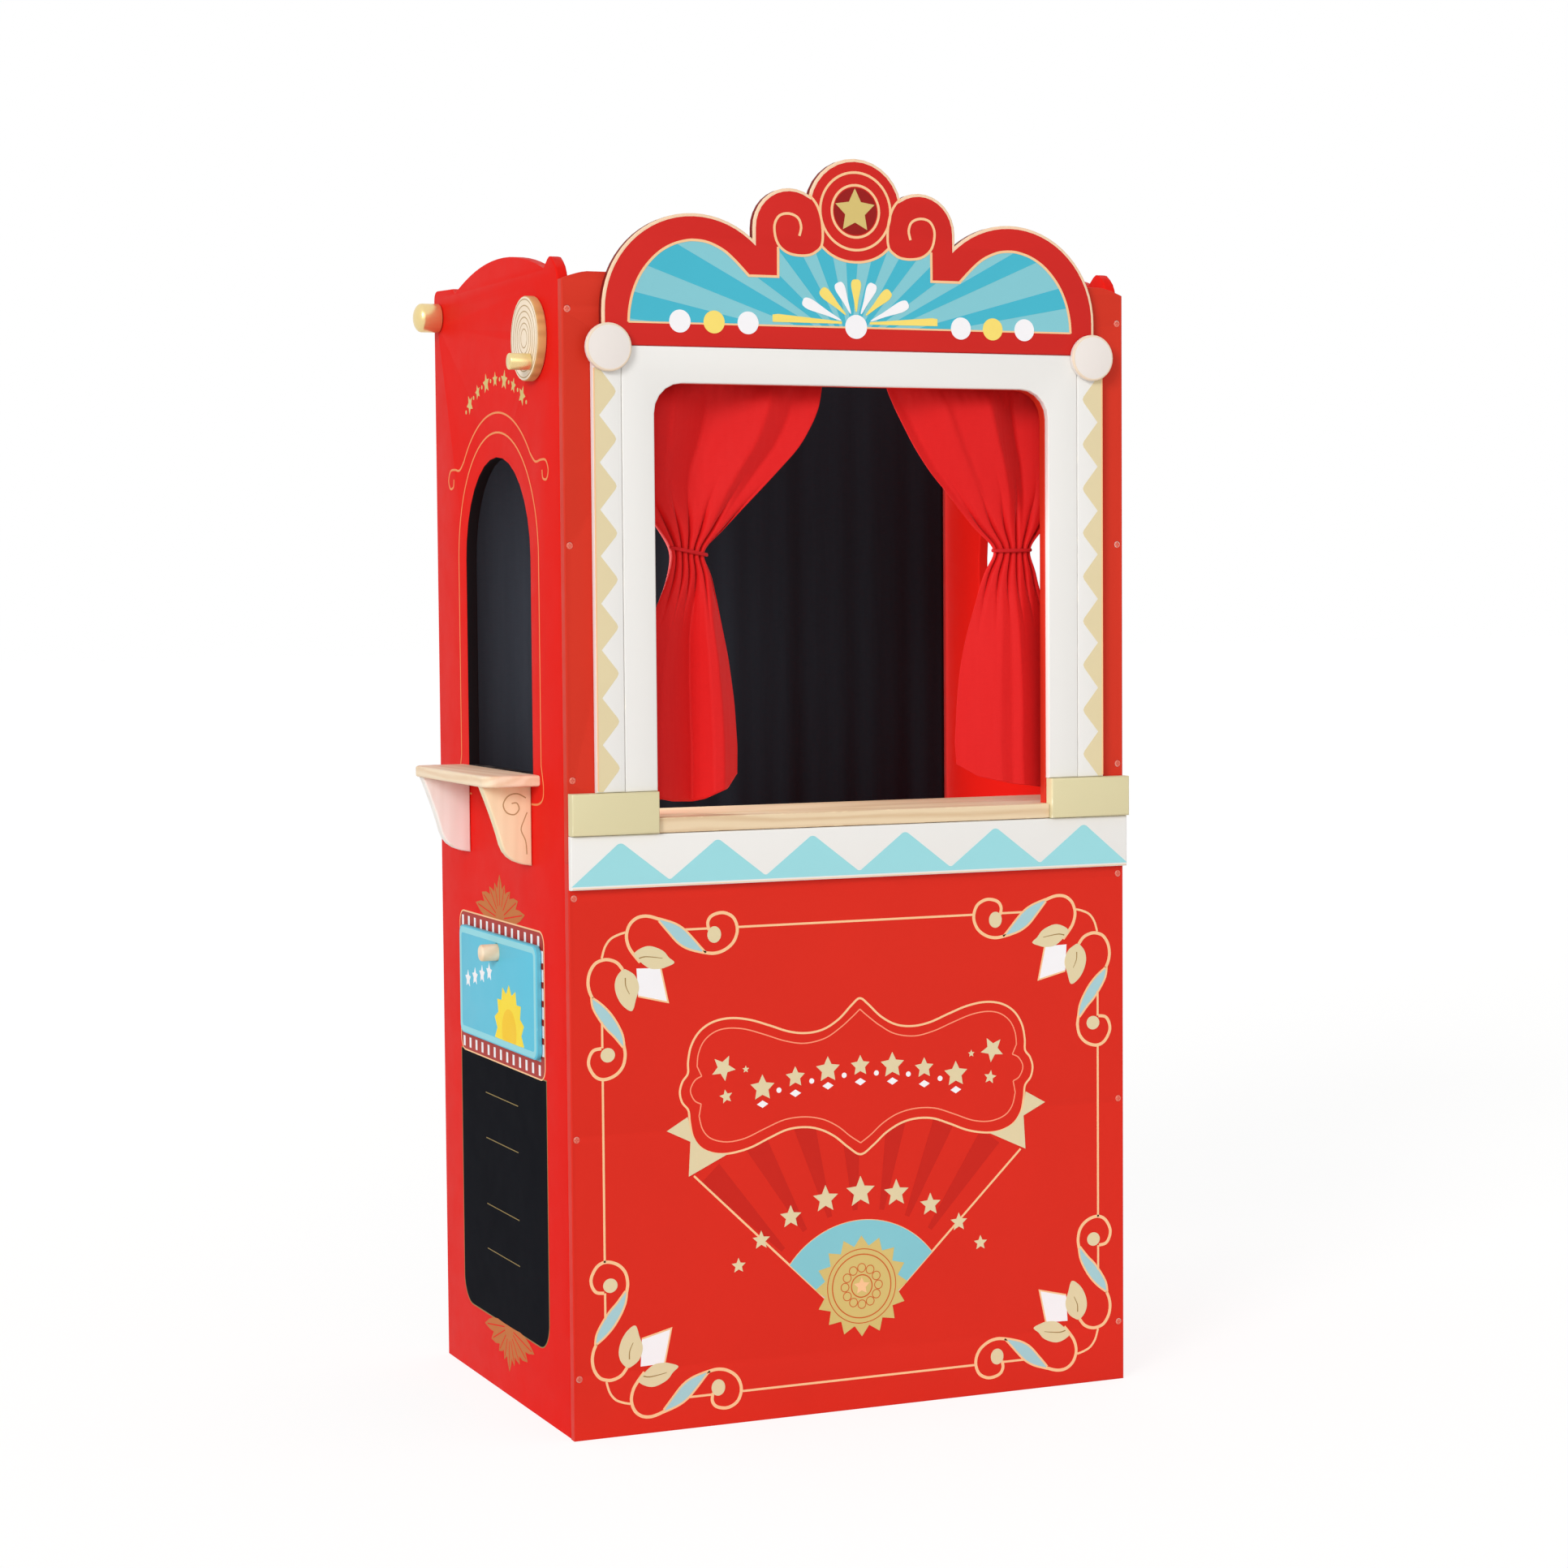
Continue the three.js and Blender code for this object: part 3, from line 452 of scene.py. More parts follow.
RIBBON_INK = Ink("ribbon_ink", Slot.BLUE, (168, 208, 214))
PICTURE_RIM = Ink("picture_rim", Slot.BLUE, (150, 218, 228))
PICTURE_BLUE = Paint("picture_blue", Slot.BLUE, (96, 196, 222), bare=(214, 236, 240), wear=0.4)
SILL_WOOD = Wood("sill_wood", Slot.WOOD, (236, 212, 176), (218, 186, 146))
SHELF_WOOD = Wood("shelf_wood", Slot.WOOD, (248, 226, 196), (236, 204, 168), (1.0, 0.12, 1.0))
BRACKET_WOOD = Wood("bracket_wood", Slot.WOOD, (246, 228, 190), (240, 218, 178), (1.0, 1.0, 0.12), 0.5)
PALE_WOOD = Wood("pale_wood", Slot.WOOD, (250, 246, 240), (244, 236, 228), (1.0, 1.0, 0.12), 0.5)
DISC_WOOD = Wood("disc_wood", Slot.WOOD, (250, 234, 212), (240, 216, 186), (1.0, 1.0, 0.15), 0.5)
EDGE_WOOD = Wood("edge_wood", Slot.WOOD, (214, 170, 108), (186, 136, 78), (0.15, 1.0, 1.0), 0.6)
INSIDE_WOOD = Wood("inside_wood", Slot.WOOD, (232, 202, 158), (210, 168, 118))
BARE_METAL = {"dust": 0.0, "specular": 0.5}
RUBBED_GOLD = {"mottle": 0.09, "gloss": 0.3, "bare": (226, 205, 150), "wear": 0.45, "metallic": 0.7}
GOLD = Paint("gold", Slot.GOLD, (238, 214, 152), relief=0.5, depth=0.00012, **RUBBED_GOLD, **BARE_METAL)
WASHED_STEEL = {"mottle": 0.2, "gloss": 0.36, "bare": (214, 208, 200), "wear": 0.8, "metallic": 0.45}
SCREW_STEEL = Paint("screw_steel", Slot.METAL, (232, 120, 100), relief=0.4, **WASHED_STEEL, **BARE_METAL)
CURTAIN_CLOTH = Cloth("curtain_cloth", Slot.RED_CLOTH, (228, 32, 30), (214, 22, 26))
TIE_CLOTH = Cloth("tie_cloth", Slot.RED_CLOTH, (214, 30, 34), (186, 16, 24), 700.0)
MATT = {"sheen": 0.0, "sheen_roughness": 0.6, "specular": 0.05}
BLACK = (30, 34, 40), (22, 25, 30)
BACKDROP_CLOTH = Cloth("backdrop_cloth_black", Slot.BLACK_CLOTH, *BLACK, 380.0, 0.3, **MATT)


# Meshes
def add_object(name: str, data: bpy.types.ID) -> bpy.types.Object:
    """Makes an object in the scene and returns it."""
    made = bpy.data.objects.new(name, data)
    bpy.context.scene.collection.objects.link(made)
    return made


@dataclass
class Draft:
    """A mesh in the making, in millimetres."""

    points: list[Triple] = field(default_factory=list)
    faces: list[tuple[int, ...]] = field(default_factory=list)
    flat: list[bool] = field(default_factory=list)
    edge: list[float] = field(default_factory=list)

    def point(self, place: Triple, edge: float = 0.0) -> int:
        """Adds a point and returns its number."""
        self.points.append(place)
        self.edge.append(edge)
        return len(self.points) - 1

    def face(self, corners: Sequence[int], flat: bool = True) -> None:
        """Adds a face."""
        self.faces.append(tuple(corners))
        self.flat.append(flat)

    def bridge(self, first: list[int], second: list[int], closed: bool = True, flat: bool = False) -> None:
        """Joins two rows of points of one length with quads."""
        count = len(first)
        for i in range(count if closed else count - 1):
            j = (i + 1) % count
            self.face((first[i], first[j], second[j], second[i]), flat)

    def loft(self, rows: list[list[int]], closed: bool = True) -> None:
        """Joins each row of points to the next."""
        for first, second in zip(rows, rows[1:]):
            self.bridge(first, second, closed)

    def piece(
        self, name: str, finish: Finish, body: str, replaced: str = "", soft: float = 35.0
    ) -> bpy.types.Object:
        """Makes the object.

        Args:
            name: The piece's name.
            finish: Its finish.
            body: The body it rides on.
            replaced: The frame's node that it stands for, if it does for one.
            soft: Edges that turn by more degrees than this are sharp.

        Returns:
            The object, in place.
        """
        mesh = bpy.data.meshes.new(name)
        mesh.from_pydata([(x * MM, y * MM, z * MM) for x, y, z in self.points], [], self.faces)
        mesh.polygons.foreach_set("use_smooth", [not flat for flat in self.flat])
        mesh.attributes.new("edge", "FLOAT", "POINT").data.foreach_set("value", self.edge)
        work = bmesh.new()
        work.from_mesh(mesh)
        bmesh.ops.recalc_face_normals(work, faces=work.faces)
        work.to_mesh(mesh)
        work.free()
        mesh.set_sharp_from_angle(angle=math.radians(soft))
        mesh.materials.append(finish.material())
        made = add_object(name, mesh)
        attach(made, body)
        if replaced:
            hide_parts(replaced)
        LOG.info("%s: %d faces on %s", name, len(self.faces), body)
        return made


def give_ply(cloth: bpy.types.Object, thickness: float) -> bpy.types.Object:
    """Gives a sheet its thickness, half to each side, and returns it."""
    ply = cloth.modifiers.new("ply", "SOLIDIFY")
    ply.thickness = thickness * MM
    ply.offset = 0.0
    return cloth


def sides_of(loop: Line) -> list[tuple[Pair, Pair]]:
    """The sides of a closed line, each as its start and end."""
    return list(zip(loop, loop[1:] + loop[:1]))


def area_of(loop: Line) -> float:
    """Twice the signed area inside a closed line."""
    return sum(a * d - b * c for (a, b), (c, d) in sides_of(loop))


def length_of(loop: Line) -> float:
    """The length of a closed line."""
    return sum(math.hypot(c - a, d - b) for (a, b), (c, d) in sides_of(loop))


def inset(loop: Line, distance: float, closed: bool = True) -> list[Pair]:
    """Moves a line to its left by a distance, with mitred corners.

    Args:
        loop: The line's points.
        distance: How far, in millimetres.
        closed: Whether the last point joins the first.

    Returns:
        As many points as were given.
    """
    made = []
    count = len(loop)
    for i, (x, y) in enumerate(loop):
        before = loop[i - 1] if closed or i > 0 else None
        after = loop[(i + 1) % count] if closed or i < count - 1 else None
        normals = []
        for start, end in ((before, (x, y)), ((x, y), after)):
            if start and end:
                dx, dy = end[0] - start[0], end[1] - start[1]
                size = math.hypot(dx, dy) or 1.0
                normals.append((-dy / size, dx / size))
        (ax, ay), (bx, by) = normals[0], normals[-1]
        scale = distance / max(0.35, 1 + ax * bx + ay * by)
        made.append((x + (ax + bx) * scale, y + (ay + by) * scale))
    return made


def soft_line(points: Line, closed: bool = False, steps: int = 6) -> list[Pair]:
    """A smooth line through given points.

    Args:
        points: The points that it passes.
        closed: Whether it returns to its start.
        steps: How many short lines lie between two given points.

    Returns:
        The points of the smooth line.
    """
    made = []
    count = len(points)
    for i in range(count if closed else count - 1):
        near = [(i + k) % count if closed else min(max(i + k, 0), count - 1) for k in (-1, 0, 1, 2)]
        for t in (step / steps for step in range(steps)):
            place = []
            for axis in (0, 1):
                a, b, c, d = (points[at][axis] for at in near)
                curve = 2 * b + (c - a) * t + (2 * a - 5 * b + 4 * c - d) * t * t
                place.append(0.5 * (curve + (3 * b - a - 3 * c + d) * t ** 3))
            made.append((place[0], place[1]))
    return made if closed else made + [points[-1]]


def polar(centre: Pair, radius: float, degrees: float) -> Pair:
    """The point at a distance from a centre, in degrees anticlockwise from the right."""
    angle = math.radians(degrees)
    return (centre[0] + radius * math.cos(angle), centre[1] + radius * math.sin(angle))


def circle(centre: Pair, radius: float, high: float | None = None, sides: int = 40) -> list[Pair]:
    """Points round a circle, or an ellipse where a height radius is given."""
    turns = [TURN * i / sides for i in range(sides)]
    return [(centre[0] + radius * math.cos(a), centre[1] + (high or radius) * math.sin(a)) for a in turns]


def fan(centre: Pair, radius: float, first: float, last: float, sides: int = 16) -> list[Pair]:
    """Points along an arc, in degrees from the right, anticlockwise."""
    return [polar(centre, radius, first + (last - first) * i / sides) for i in range(sides + 1)]


def rounded(left: float, right: float, low: float, top: float, soft: float, sides: int) -> list[Pair]:
    """The outline of a rectangle with rounded corners."""
    left, right, low, top = left + soft, right - soft, low + soft, top - soft
    corners = ((right, top), (left, top), (left, low), (right, low))
    return [spot for i, at in enumerate(corners) for spot in fan(at, soft, 90 * i, 90 * i + 90, sides)]


def mirrored(points: Line, centre: float, upright: bool = False) -> list[Pair]:
    """The points mirrored left to right, or top to bottom where upright is set."""
    return [(a, 2 * centre - b) if upright else (2 * centre - a, b) for a, b in points]


def blade(root: Pair, tip: Pair, widths: Line) -> list[Pair]:
    """The outline of a petal or a leaf.

    Args:
        root: Where it starts.
        tip: Where it ends.
        widths: Shares of the way from root to tip, and half the width at each.

    Returns:
        The outline, up one side and down the other.
    """
    dx, dy = tip[0] - root[0], tip[1] - root[1]
    made = []
    for sign, row in ((1, widths), (-1, widths[::-1])):
        for along, half in row:
            out = sign * half / math.hypot(dx, dy)
            made.append((root[0] + dx * along - dy * out, root[1] + dy * along + dx * out))
    return made


@dataclass(frozen=True)
class Face:
    """A flat face of the stand, and how across and up on it turn into a place."""

    axis: Axis
    level: float
    out: float = -1.0

    def at(self, across: float, up: float, lift: float) -> Triple:
        """The place at a point of the face, lifted off it."""
        place = [across, up]
        place.insert(self.axis.value, self.level + self.out * lift)
        return (place[0], place[1], place[2])


def skin(node: str, axis: Axis) -> Face:
    """The face of a node on its low side along an axis."""
    return Face(axis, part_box(node)[0][axis.value] / MM)


FRONT = Face(Axis.DEEP, -215.0)
LAID = Face(Axis.DEEP, -224.3)
FLANK = Face(Axis.ACROSS, -320.0)


def board_loops(name: str, axis: Axis, high: bool) -> tuple[list[list[Pair]], float, float]:
    """Reads the outline and the holes of one flat face of a frame node.

    Args:
        name: The node.
        axis: The axis that it is thin along.
        high: Whether the face on the high side is read.

    Returns:
        The loops with the outline first, and the lowest and highest level along the axis.
    """
    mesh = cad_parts[name].data
    places = [tuple(value / MM for value in v.co) for v in mesh.vertices]
    levels = [p[axis.value] for p in places]
    low, top = min(levels), max(levels)
    level = top if high else low
    arrows: dict[Pair, list[Pair]] = {}
    for polygon in mesh.polygons:
        corners = [places[i] for i in polygon.vertices]
        if max(abs(c[axis.value] - level) for c in corners) > 0.02:
            continue
        flat = [[round(value, 2) for i, value in enumerate(c) if i != axis.value] for c in corners]
        for start, end in sides_of([(a, b) for a, b in flat]):
            if start in arrows.get(end, []):
                arrows[end].remove(start)
            else:
                arrows.setdefault(start, []).append(end)
    loops = []
    while any(arrows.values()):
        start = next(key for key, ends in arrows.items() if ends)
        loop = [start]
        here = arrows[start].pop()
        while here != start:
            loop.append(here)
            here = arrows[here].pop()
        loops.append(loop)
    loops.sort(key=lambda loop: -abs(area_of(loop)))
    made = [loop if (area_of(loop) > 0) == (i == 0) else loop[::-1] for i, loop in enumerate(loops)]
    return made, low, top


@dataclass
class Board:
    """A flat board rebuilt from its frame node with softly rounded edges."""

    node: str
    axis: Axis
    finish: Finish
    body: str = "carcass"
    high: bool = False
    rounding: float = 1.2
    smallest_hole: float = 30.0

    def build(self) -> None:
        """Builds the board, which stands for its node."""
        loops, low, top = board_loops(self.node, self.axis, self.high)
        kept = [loops[0]] + [loop for loop in loops[1:] if length_of(loop) > self.smallest_hole]
        draft = Draft()
        rings = [self.edge_rings(draft, loop, low, top) for loop in kept]
        for end in (0, -1):
            lines = [ring[end] for ring in rings]
            numbers = [n for line in lines for n in line]
            for corners in tessellate_polygon([[Vector(draft.points[n]) for n in line] for line in lines]):
                draft.face([numbers[c] for c in corners])
        draft.piece(self.node + "_board", self.finish, self.body, self.node)

    def edge_rings(self, draft: Draft, loop: list[Pair], low: float, top: float) -> list[list[int]]:
        """Adds the rounded edge along one loop.

        Args:
            draft: The mesh in the making.
            loop: The outline or a hole.
            low: The lower level of the board.
            top: The higher level.

        Returns:
            The point numbers of each ring, from the low face to the high one.
        """
        soft = self.rounding if length_of(loop) > 60 else min(0.3, self.rounding)
        near = [(1.0, 0.0, 0.0), (0.5, 0.134, 0.7), (0.134, 0.5, 1.0), (0.0, 1.0, 0.55)]
        rows = [(side * soft, low + depth * soft, edge) for side, depth, edge in near]
        rows += [(0.0, low + soft + 0.9, 0.0), (0.0, top - soft - 0.9, 0.0)]
        rows += [(side * soft, top - depth * soft, edge) for side, depth, edge in near[::-1]]
        face = Face(self.axis, 0.0, 1.0)
        made = []
        for side, level, edge in rows:
            line = inset(loop, side) if side else loop
            made.append([draft.point(face.at(a, b, level), edge) for a, b in line])
        draft.loft(made)
        return made


@dataclass
class EdgeCoat:
    """A thin coat of another colour along an edge of a flat board; on the left window's reveal it is painted
    shade.

    Its path runs over the edge in pairs of a distance in from the outline and a depth below the face.
    """

    name: str
    node: str
    axis: Axis
    finish: Finish
    path: tuple[Pair, ...]
    loop: int = 0
    floor: float | None = None
    body: str = "carcass"
    high: bool = False
    thin: float = 0.08
    sunk: float = 0.15

    def above(self, line: list[Pair], floor: float) -> list[Pair]:
        """Cuts a closed outline open along its straight foot.

        Args:
            line: The outline.
            floor: The height of the foot.

        Returns:
            The outline from one end of the foot round to the other.
        """
        start = next(i for i, spot in enumerate(line) if spot[1] > floor and line[i - 1][1] <= floor)
        turned = line[start:] + line[:start]
        ends = [spot for spot in turned if spot[1] <= floor]
        return [ends[-1]] + [spot for spot in turned if spot[1] > floor] + [ends[0]]

    def build(self) -> None:
        """Builds the coat."""
        loops, low, top = board_loops(self.node, self.axis, self.high)
        closed = self.floor is None
        line = loops[self.loop] if closed else self.above(loops[self.loop], self.floor)
        outer, inner = (inset(self.path, thin, closed=False) for thin in (self.thin, -self.sunk))
        face = Face(self.axis, 0.0, 1.0)
        draft = Draft()
        rows = []
        for side, depth in outer + inner[::-1]:
            level = top - depth if self.high else low + depth
            rows.append([draft.point(face.at(a, b, level)) for a, b in inset(line, side, closed)])
        draft.loft(rows + rows[:1], closed)
        if not closed:
            for end in (0, -1):
                draft.face([row[end] for row in rows])
        draft.piece(self.name, self.finish, self.body)


@dataclass
class Turned:
    """A piece turned on a lathe in the place of a round node along X, from its low end or its high one."""

    node: str
    finish: Finish
    body: str
    flip: bool = False
    sides: int = 56

    def __post_init__(self) -> None:
        """Measures the node."""
        low, high = (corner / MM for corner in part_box(self.node))
        self.length = high.x - low.x
        self.radius = (high.z - low.z) / 2
        self.start = high.x if self.flip else low.x
        self.middle = (low + high) / 2

    def rod(self, soft: float) -> list[Pair]:
        """The profile of a rod with rounded ends."""
        turns = [math.pi / 2 * i / 4 for i in range(5)]
        made = [(soft * (1 - math.cos(a)), self.radius - soft + soft * math.sin(a)) for a in turns]
        return made + [(self.length - a, b) for a, b in made[::-1]]

    def build(self, profile: Line = (), soft: float = 0.8) -> None:
        """Builds the piece.

        Args:
            profile: Distances along the axis and radii. Without them it is a rod.
            soft: The radius of a rod's rounded ends.
        """
        draft = Draft()
        rows = []
        for along, radius in profile or self.rod(soft):
            x = self.start - along if self.flip else self.start + along
            ring = circle((self.middle.y, self.middle.z), radius, sides=self.sides)
            rows.append([draft.point((x, y, z)) for y, z in ring])
        draft.loft(rows)
        draft.face(rows[0][::-1])
        draft.face(rows[-1])
        draft.piece(self.node + "_turned", self.finish, self.body, self.node, soft=42.0)


class Print:
    """Flat printed shapes of one colour on one face, each a very thin closed layer."""

    SUNK = 0.1
    LAYER = 0.09
    STEP = 0.012

    def __init__(self, name: str, face: Face, finish: Finish, level: int = 1, body: str = "carcass") -> None:
        """Starts an empty print.

        Args:
            name: The piece's name.
            face: The face that it lies on.
            finish: Its ink.
            level: Prints of a higher level lie over those of a lower one.
            body: The body that the face belongs to.
        """
        self.name = name
        self.face = face
        self.finish = finish
        self.level = level
        self.body = body
        self.draft = Draft()
        self.shapes = 0

    def rows(self, *lines: Line) -> list[tuple[list[int], list[int]]]:
        """Adds the points of lines under and on the next shape's layer, a hair off the last one's."""
        self.shapes += 1
        lift = self.level * self.LAYER + (self.shapes % 5) * self.STEP
        made = []
        for line in lines:
            low = [self.draft.point(self.face.at(a, b, -self.SUNK)) for a, b in line]
            top = [self.draft.point(self.face.at(a, b, lift)) for a, b in line]
            made.append((low, top))
        return made

    def fill(self, outline: Line) -> None:
        """Fills a closed outline."""
        line = outline if area_of(outline) > 0 else outline[::-1]
        ((low, top),) = self.rows(line)
        for corners in tessellate_polygon([[Vector((a, b, 0.0)) for a, b in line]]):
            self.draft.face([top[c] for c in corners])
            self.draft.face([low[c] for c in corners])
        self.draft.bridge(low, top, flat=True)

    def stroke(self, line: Line, width: float, closed: bool = False, taper: float = 1.0) -> None:
        """Draws a line of a given width.

        Args:
            line: Its middle.
            width: Its width at the start.
            closed: Whether it returns to its start.
            taper: Its width at the end, as a share of the width at the start.
        """
        sides = []
        for sign in (0.5, -0.5):
            row = []
            for i, ((x, y), (far_x, far_y)) in enumerate(zip(line, inset(line, sign, closed))):
                share = width * (1 + (taper - 1) * i / max(1, len(line) - 1))
                row.append((x + (far_x - x) * share, y + (far_y - y) * share))
            sides.append(row)
        (left_low, left_top), (right_low, right_top) = self.rows(*sides)
        ring = (left_low, left_top, right_top, right_low, left_low)
        for first, second in zip(ring, ring[1:]):
            self.draft.bridge(first, second, closed, flat=True)
        if not closed:
            for at in (0, -1):
                self.draft.face([row[at] for row in ring[:4]])

    def star(
        self, centre: Pair, radius: float, turn: float = 0.0, tips: int = 5, waist: float = 0.46
    ) -> None:
        """Draws a star, turned anticlockwise by degrees from upright."""
        sizes = (radius, radius * waist)
        self.fill([polar(centre, sizes[i % 2], 90 + turn + 180 * i / tips) for i in range(2 * tips)])

    def disc(self, centre: Pair, radius: float, high: float | None = None) -> None:
        """Draws a disc, or an ellipse where a height radius is given."""
        self.fill(circle(centre, radius, high))

    def ring(self, centre: Pair, radius: float, width: float, sides: int = 64) -> None:
        """Draws the line of a circle."""
        self.stroke(circle(centre, radius, sides=sides), width, closed=True)

    def bar(self, left: float, right: float, low: float, top: float) -> None:
        """Draws an upright rectangle."""
        self.fill([(left, low), (right, low), (right, top), (left, top)])

    def piece(self) -> None:
        """Makes the print's object."""
        self.draft.piece(self.name, self.finish, self.body)


def press(*prints: Print) -> None:
    """Makes the objects of several prints, in order."""
    for part in prints:
        part.piece()


# The boards
@dataclass
class Carcass:
    """The box of the stand: side panels, front boards, sill, shelf and base."""

    panel_rounding: float = 1.6
    shelf_rounding: float = 1.5
    screw_hole: float = 5.0
    reveal: Line = trace(0.8, 0.21, 0.21, 0.8, 0, 1.6, 0, 10.4, 0.21, 11.2, 0.8, 11.79)

    def build(self) -> None:
        """Builds every board, and the painted shade on the reveal of the left window, coloured near black.
        """
        for side in ("left", "right"):
            name = side + "_side_panel"
            Board(name, Axis.ACROSS, SIDE_RED, high=side == "left", rounding=self.panel_rounding).build()
        # Painted shade: the left window's reveal is coloured near black, as if it lay in the stage's shade.
        window = ("left_window_edge_painted_shade", "left_side_panel", Axis.ACROSS, REVEAL_PAINTED_SHADE, self.reveal, 1)
        EdgeCoat(*window, high=True).build()
        Board("lower_front_board", Axis.DEEP, FRONT_RED, smallest_hole=self.screw_hole).build()
        Board("upper_front_board", Axis.DEEP, UPPER_RED, smallest_hole=self.screw_hole).build()
        shelves = {"stage_sill": SILL_WOOD, "storage_shelf": INSIDE_WOOD, "base_board": INSIDE_WOOD}
        for name, finish in shelves.items():
            Board(name, Axis.UPRIGHT, finish, high=True, rounding=self.shelf_rounding).build()


@dataclass
class StageFront:
    """The boards laid round the stage opening, and the prints on them."""

    rounding: float = 1.6
    plinth_rounding: float = 2.2
    tooth_levels: tuple[float, ...] = (1070.6, 1022.6, 975.2, 927.8, 881.0, 833.1, 786.0, 737.4, 690.0)
    tooth_outer: float = 289.4
    tooth_apex: float = 266.6
    tooth_valley: float = 284.6
    blunt_tip: Line = trace(1.4, 3.4, 0, 0, 1.4, -3.4)
    triangles: int = 6
    band_half: float = 53.3
    band_apex: float = 613.2
    band_base: float = 575.0
    band_foot: float = 570.6
    soft_edge: Line = trace(1.6, 0, 0.8, 0.21, 0.21, 0.8, 0, 1.6)

    def build(self) -> None:
        """Builds the boards, then their prints."""
        boards = {"stage_frame": WHITE, "zigzag_fascia": WHITE, "crest_board": CREST_RED}
        for name, finish in boards.items():
            Board(name, Axis.DEEP, finish, rounding=self.rounding).build()
        for side in ("left", "right"):
            Board(side + "_pilaster", Axis.DEEP, WHITE, rounding=self.rounding).build()
            Board(side + "_plinth_block", Axis.DEEP, KHAKI, rounding=self.plinth_rounding).build()
            Board(side + "_corner_disc", Axis.DEEP, DISC_WHITE, rounding=self.rounding).build()
        self.teeth()
        self.band()
        self.rims()

    def teeth(self) -> None:
        """Prints the khaki teeth along the outer edge of each pilaster."""
        ink = Print("pilaster_teeth", LAID, KHAKI_INK)
        levels = self.tooth_levels
        half = (levels[0] - levels[-1]) / (len(levels) - 1) / 2
        for sign in (-1, 1):
            line = [(sign * self.tooth_outer, levels[0] + half)]
            for level in levels:
                line.append((sign * self.tooth_valley, level + half))
                line += [(sign * (self.tooth_apex + back), level + rise) for back, rise in self.blunt_tip]
            foot = levels[-1] - half
            ink.fill(line + [(sign * self.tooth_valley, foot), (sign * self.tooth_outer, foot)])
        ink.piece()

    def band(self) -> None:
        """Prints the blue zigzag of the band under the stage, and the pale line at its foot."""
        ink = Print("band_triangles", LAID, BAND_SKY_INK)
        half = self.band_half
        end = self.triangles * half
        line = [(-end, self.band_foot), (end, self.band_foot)]
        for i in range(self.triangles - 1, -1, -1):
            middle = (2 * i + 1 - self.triangles) * half
            line += fan((middle, self.band_apex - 6.5), 6.5, 48, 132, 8)
            if i:
                line += fan((middle - half, self.band_base + 4.0), 4.0, -44, -136, 8)
        ink.fill(line)
        rim = Print("band_rim", LAID, RIM_CREAM)
        rim.stroke([(-318.4, 568.5), (318.4, 568.5)], 1.0)
        press(ink, rim)

    def rims(self) -> None:
        """Coats the edges of the crest and the corner discs, and lines the pilasters."""
        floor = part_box("crest_board")[0].z / MM + 0.5
        rim, wall = ((3.2, 0.0), *self.soft_edge), ((0.0, 1.9), (0.0, 8.8))
        EdgeCoat("crest_rim", "crest_board", Axis.DEEP, RIM_CREAM, rim, floor=floor).build()
        # The crest's side walls are coloured a darker red than its face, all round.
        EdgeCoat("crest_wall", "crest_board", Axis.DEEP, WALL_RED, wall, floor=floor).build()
        rim = ((2.2, 0.0), *self.soft_edge)
        for side in ("left", "right"):
            EdgeCoat(side + "_disc_rim", side + "_corner_disc", Axis.DEEP, DISC_RIM, rim).build()
        ink = Print("pilaster_lines", LAID, CREAM_INK, 4)
        for across in (-289.9, 289.9):
            ink.stroke([(across, 667.0), (across, 1094.0)], 1.4)
        ink.piece()


